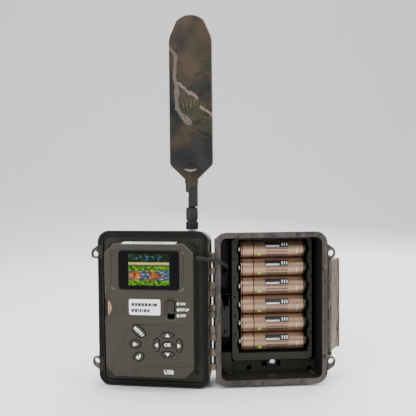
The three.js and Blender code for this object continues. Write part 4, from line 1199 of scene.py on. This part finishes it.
def make_latch():
    arm = LATCH_ARM
    corners = [(-1.3, 0), (1.2, 0), (1.2, arm - 2), (2.8, arm - 1.6), (2.8, arm - 0.2), (0.9, arm + 0.4),
               (-1.2, arm + 1.2), (-4, arm + 2.6), (-4.4, arm + 1.4), (-1.6, arm - 0.8)]
    lever = solid(lambda b: slab(b, corners, LATCH_Z))
    upright = Matrix.Translation((LATCH_X, LATCH_Y, 0)) @ Matrix(((1, 0, 0, 0), (0, 0, 1, 0), (0, 1, 0, 0),
                                                                  (0, 0, 0, 1)))
    bmesh.ops.transform(lever, matrix=upright, verts=lever.verts)
    bmesh.ops.recalc_face_normals(lever, faces=lever.faces)
    notches = solid(*[lambda b, i=i: rod(b, 0.5, (LATCH_X + 3.1, LATCH_Y + arm - 0.9, 26 + 2.2 * i),
                                         (LATCH_X + 2.4, LATCH_Y + arm - 0.9, 26 + 2.2 * i),
                                         10) for i in range(30)])
    lever = combine(lever, [notches])
    bmesh.ops.rotate(lever, cent=(LATCH_X, LATCH_Y, 0), matrix=Matrix.Rotation(-FLARE, 3, "Z"),
                     verts=lever.verts)
    barrel = solid(lambda b: rod(b, 2.3, (LATCH_X, LATCH_Y, LATCH_Z[0]), (LATCH_X, LATCH_Y, LATCH_Z[1]), 32))
    lever = combine(lever, [barrel], "UNION")
    bore = solid(lambda b: rod(b, 1.2, (LATCH_X, LATCH_Y, 18), (LATCH_X, LATCH_Y, 98), 20))
    lever = combine(lever, [bore])
    piece("latch_lever_finished", lever, REAR, "latch", latch_camo, "latch_lever", 0.3)
    pin = [(0, 20.8), (0.8, 20.8), (0.9, 21), (0.9, 95.2), (0.8, 95.4), (0, 95.4)]
    piece("latch_pin_finished", spun(pin, (LATCH_X, LATCH_Y, 0), "Z", 24), REAR, "rear_case", steel,
          "latch_pin")


def make_hinge_pin():
    pin = [(0, 15.4), (0.65, 15.4), (0.75, 15.6), (0.75, 100.4), (0.65, 100.6), (0, 100.6)]
    piece("hinge_pin_finished", spun(pin, (0, 0, 0), "Z", 24), REAR, "rear_case", steel, "hinge_pin")


# ---------------------------------------------------------------- power lead
def from_front(x, y, z):
    return Matrix.Rotation(-OVER_OPEN, 3, "Z") @ Vector((x, y, z))


LEAD_ROUTE = [from_front(-13.4, LEAD_Y, LEAD_Z), from_front(-9.5, LEAD_Y, LEAD_Z), from_front(-5, -5.6, 97),
              Vector((0, -4.6, 96)), Vector((5, -3.6, 94.6)), Vector((9, -0.5, 92.6)), Vector((11.4, 5,
                                                                                               90.2)),
              Vector((12, 12, 87.6)), Vector((12, 20, 85)), Vector((12, 29, 82))]


def make_lead():
    core, spread = 0.72, 0.68
    cores = []
    for lift in (-spread, spread):
        curve = bpy.data.curves.new("core", "CURVE")
        curve.dimensions = "3D"
        curve.bevel_depth = core
        curve.bevel_resolution = 4
        curve.use_fill_caps = True
        curve.resolution_u = 8
        spline = curve.splines.new("BEZIER")
        spline.bezier_points.add(len(LEAD_ROUTE) - 1)
        for point, spot in zip(spline.bezier_points, LEAD_ROUTE):
            point.co = spot + Vector((0, 0.15 * lift, lift))
            point.handle_left_type = point.handle_right_type = "AUTO"
        wire = bpy.data.objects.new("core", curve)
        bpy.context.scene.collection.objects.link(wire)
        bpy.context.view_layer.update()
        mesh = bpy.data.meshes.new_from_object(wire.evaluated_get(bpy.context.evaluated_depsgraph_get()))
        bpy.data.objects.remove(wire)
        bm = bmesh.new()
        bm.from_mesh(mesh)
        bmesh.ops.remove_doubles(bm, verts=bm.verts, dist=0.001)
        bmesh.ops.recalc_face_normals(bm, faces=bm.faces)
        cores.append(bm)
    lead = merge(bmesh.new(), *cores)
    for face in lead.faces:
        face.smooth = True
    bmesh.ops.transform(lead, matrix=REAR, verts=lead.verts)
    made = as_object(lead, "power_lead_finished")
    made.data.materials.append(cable)
    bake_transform(made)
    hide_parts("power_lead")


# ---------------------------------------------------------------- finishes of single pieces
def cell_label_finish():
    """Brown metallic film with a seam ring, a header box and rows of plain dashes round the cell."""
    f = Finish("cell_label", Coat_Weight=0.15, Specular_IOR_Level=0.4)
    uv = f.node("ShaderNodeUVMap", {"uv_map": "label"})["UV"]
    along, around, _ = f.axes(uv)
    base = f.mix(f.noise(f.place((0.1, 1, 1)), 0.9, 3), (0.3, 0.185, 0.12), (0.37, 0.24, 0.165))
    base = f.mix(along.between(0.14, 0.2) * 0.12, base, (0.16, 0.1, 0.065))

    def within(signal, low, high):
        return (signal > low) * (signal < high)

    block = within(along, 0.375, 0.745)
    header = block * within(around, 1.4, 6.2)
    columns = (along * 27).fraction()
    letters = f.noise(f.node("ShaderNodeMapping", {"vector_type": "POINT"},
                             {"Vector": uv, "Scale": (60, 1.4, 1)})["Vector"], 1, 2, 0.5)
    white_bar = within(along, 0.39, 0.6) * within(around, 1.9, 3.1) * (letters > 0.42)
    digits = within(along, 0.62, 0.735) * within(around, 2.4, 5.0) * within(columns, 0.2, 0.72)
    rows = (around * 0.385 + 0.15).fraction()
    text = within(along, 0.39, 0.73) * within(around, -7.8, 0.8) * within(rows, 0.15, 0.7)
    text = text * within(columns, 0.1, 0.85) * (letters > 0.4)
    ring = within(along, 0.193, 0.207) + within(along, 0.018, 0.032) + within(along, 0.975, 0.99)
    marks = within(along, 0.868, 0.885) * within(around, -4.2, 0.6) * (f.noise(uv, 2.6, 2) > 0.42)
    dx, dy = (along - 0.292) * CELL_BODY, around + 4.15
    dot = ((dx * dx + dy * dy) < 1.7)
    base = f.mix(header, base, (0.008, 0.008, 0.008))
    base = f.mix(white_bar, base, (0.62, 0.62, 0.6))
    base = f.mix(digits, base, (0.5, 0.5, 0.48))
    base = f.mix(text, base, (0.01, 0.008, 0.007))
    base = f.mix(ring, base, (0.03, 0.022, 0.018))
    base = f.mix(marks, base, (0.55, 0.5, 0.45))
    base = f.mix(dot, base, (0.28, 0.55, 0.02))
    print_mask = (header + text + dot).least(1)
    return f.feed(Base_Color=base, Metallic=(1 - print_mask) * 0.8, Roughness=print_mask * 0.18 + 0.3)


def blade_finish():
    """Printed forest film: blurred ground, one pale branch, needles that fan out and dark twigs."""
    f = Finish("blade_camouflage", Specular_IOR_Level=0.12)
    turn = {"Vector": f.node("ShaderNodeTexCoord")["Object"], "Rotation": (0, 0, OVER_OPEN),
            "Scale": (1000, 1000, 1000), "Location": (0, 0, 0)}
    point = f.node("ShaderNodeMapping", {"vector_type": "POINT"}, turn)["Vector"]
    middle = FRONT @ Vector((ANTENNA_X, ANTENNA_Y, 0))
    shift = (Matrix.Rotation(OVER_OPEN, 3, "Z") @ middle)[0] / MM
    px, _, pz = f.axes(point)
    sway = f.noise(point, 0.11, 3) - 0.5
    flutter = f.noise(point, 0.5, 3) - 0.5
    x = px - shift + sway * 6 + flutter * 1.2
    z = pz + sway * 5
    blur = f.noise(point, 0.045, 2, 0.4, 0.3)
    base = f.ramp(blur, [(0.37, (0.004, 0.006, 0.008)), (0.47, (0.011, 0.012, 0.013)), (0.55, (0.026, 0.02,
                                                                                               0.014)),
                         (0.66, (0.046, 0.031, 0.02))])
    base = f.mix(f.noise(point, 0.3, 5, 0.6).between(0.4, 0.7) * 0.3, base, (0.022, 0.02, 0.013))

    def stroke(start, end, width):
        (x0, z0), (x1, z1) = start, end
        dx, dz = x1 - x0, z1 - z0
        length = dx * dx + dz * dz
        t = (((x - x0) * dx + (z - z0) * dz) / length).least(1).most(0)
        away_x, away_z = x - x0 - t * dx, z - z0 - t * dz
        gap = (away_x * away_x + away_z * away_z) ** 0.5
        return 1 - gap.between(width - 0.35, width + 0.35)

    bark = f.noise(point, 1.3, 4, 0.7)
    for start, end, width, colour in (
            ((3, 182), (12, 160), 3.2, (0.018, 0.019, 0.02)), ((0, 222), (17, 226), 2.2, (0.014, 0.017,
                                                                                          0.014)),
            ((5, 232), (17, 238), 1.1, (0.016, 0.02, 0.014))):
        base = f.mix(stroke(start, end, width) * 0.9, base, colour)

    def fan(centre, turn_from, turn_to, reach, rays, colour):
        ax, az = x - centre[0], z - centre[1]
        angle = f.node("ShaderNodeMath", {"operation": "ARCTAN2"}, {"0": az, "1": ax})["Value"]
        away = (ax * ax + az * az) ** 0.5
        ray = (angle * rays + flutter * 1.5).fraction()
        thin = (ray.between(0.25, 0.4)) * (1 - ray.between(0.6, 0.75))
        window = (angle > turn_from) * (angle < turn_to) * (away < reach) * (away > 1)
        return f.mix(thin * window * 0.85, base, colour)

    base = fan((0, 197), 0.1, 2.1, 17, 5.5, (0.055, 0.055, 0.022))
    base = fan((3, 193), -0.5, 0.75, 20, 7, (0.05, 0.048, 0.022))
    base = fan((-6, 246), -0.65, 0.02, 24, 9, (0.03, 0.038, 0.014))
    branch = [((-15, 252), (-10.5, 244)), ((-10.5, 244), (-12.5, 230)), ((-12.5, 230), (-9.5, 219)),
              ((-9.5, 219), (-9.5, 208)), ((-9.5, 208), (-1, 196))]
    limb = f.mix(bark.between(0.42, 0.6), (0.125, 0.102, 0.092), (0.04, 0.03, 0.024))
    for start, end in branch:
        base = f.mix(stroke(start, end, 1.5), base, limb)
    for start, end in (((-9, 226), (5, 214)), ((8, 208), (17, 202))):
        base = f.mix(stroke(start, end, 0.9), base, (0.13, 0.1, 0.09))
    for start, end in (((-1, 192), (16, 183)), ((0, 188), (-16, 172))):
        base = f.mix(stroke(start, end, 0.4), base, (0.034, 0.021, 0.016))
    bud = stroke((0, 192), (4, 188), 2.2) * bark.between(0.45, 0.6)
    base = f.mix(bud, base, (0.042, 0.025, 0.018))
    fine = f.noise(point, 3, 3)
    return f.feed(Base_Color=base, Roughness=fine * 0.2 + 0.42, Normal=f.bump(fine, 0.08))


def lens_finish():
    f = Finish("coated_glass", Coat_Weight=1.0, Specular_IOR_Level=0.6)
    film = f.noise(f.place(), 0.12, 2)
    return f.feed(Base_Color=f.mix(film, (0.012, 0.006, 0.03), (0.004, 0.018, 0.02)),
                  Roughness=film * 0.04 + 0.03)


def fresnel_finish():
    """Milky dome moulded into rings of small lenses."""
    f = Finish("fresnel_dome")
    centre = (FRONT @ Vector((FRONT_MID, BACK, SENSOR_Z))) / MM
    sockets = {"Vector": f.node("ShaderNodeTexCoord")["Object"], "Scale": (1000, 1000, 1000),
               "Location": tuple(-c for c in centre)}
    x, _, z = f.axes(f.node("ShaderNodeMapping", {"vector_type": "POINT"}, sockets)["Vector"])
    away = (x * x + z * z) ** 0.5
    angle = f.node("ShaderNodeMath", {"operation": "ARCTAN2"}, {"0": z, "1": x})["Value"]
    rings = abs((away * 0.28).fraction() - 0.5)
    rays = abs((angle * (12 / (2 * math.pi))).fraction() - 0.5)
    ridge = rings.between(0.4, 0.5).most(rays.between(0.42, 0.5))
    return f.feed(Base_Color=f.mix(ridge, (0.62, 0.61, 0.57), (0.4, 0.39, 0.36)),
                  Roughness=ridge * 0.2 + 0.35,
                  Normal=f.bump(ridge, 0.6))


def smoked_finish():
    f = Finish("smoked_window", Alpha=0.72, Specular_IOR_Level=0.5)
    haze = f.noise(f.place(), 0.3, 3)
    return f.feed(Base_Color=f.mix(haze, (0.004, 0.002, 0.003), (0.008, 0.004, 0.005)),
                  Roughness=haze * 0.08 + 0.05)


cell_print = cell_label_finish()
blade_camo = blade_finish()
latch_camo = camouflage("latch_camouflage", (0.115, 0.085, 0.066), (0.03, 0.028, 0.022), 0.5)
tray_olive = moulded("tray_plastic", (0.012, 0.012, 0.0085), 0.4)
coated_glass = lens_finish()
fresnel = fresnel_finish()
smoked = smoked_finish()
lamp_red = polished("lamp_red", (0.09, 0.006, 0.006))
emitter = polished("emitter_epoxy", (0.05, 0.03, 0.06), 0.12)
cable = moulded("cable_sheath", (0.012, 0.012, 0.013), 0.3, 0.8, 0.05)
copper_label = printed("card_label", (0.42, 0.2, 0.11))


random.seed(11)
make_front_shell()
make_gasket()
make_module()
make_module_screws()
make_display()
make_switch()
make_sticker()
make_module_prints()
make_usb_and_card()
for key_name, layout in KEYS.items():
    make_key(key_name, *layout)
make_optics()
make_antenna_nut()
make_antenna_base()
make_blade()
make_rear_shell()
make_tray()
make_cells()
make_contacts()
make_side_column()
make_latch()
make_hinge_pin()
make_lead()

for node, finish in (("card_socket", nickel), ("main_board", circuit_green), ("key_membrane", rubber),
                     ("antenna_jack", nickel), ("tripod_insert", brass)):
    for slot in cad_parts[node].material_slots:
        slot.material = finish


# ---------------------------------------------------------------- floor and finish
def make_stage():
    """A pale floor that curves up into a backdrop."""
    bm = bmesh.new()
    start = [bm.verts.new(spot) for spot in ((-4, -3, 0), (-4, 0.9, 0))]
    bm.edges.new(start)
    sweep = bmesh.ops.spin(bm, geom=[start[1]], cent=(-4, 0.9, 1.0), axis=(1, 0, 0), angle=math.pi / 2,
                           steps=24)
    top = bmesh.ops.extrude_vert_indiv(bm, verts=[v for v in sweep["geom_last"] if isinstance(v,
        bmesh.types.BMVert)])
    bmesh.ops.translate(bm, verts=top["verts"], vec=(0, 0, 3))
    wide = bmesh.ops.extrude_edge_only(bm, edges=bm.edges)["geom"]
    bmesh.ops.translate(bm, verts=[v for v in wide if isinstance(v, bmesh.types.BMVert)], vec=(8, 0, 0))
    for face in bm.faces:
        face.smooth = True
    floor = as_object(bm, "floor")
    f = Finish("pale_floor", Specular_IOR_Level=0.2)
    f.feed(Base_Color=f.mix(f.noise(f.place(), 0.02), (0.9, 0.9, 0.9), (0.93, 0.93, 0.93)),
           Roughness=f.noise(f.place(), 0.05) * 0.1 + 0.6)
    floor.data.materials.append(f.material)


make_stage()
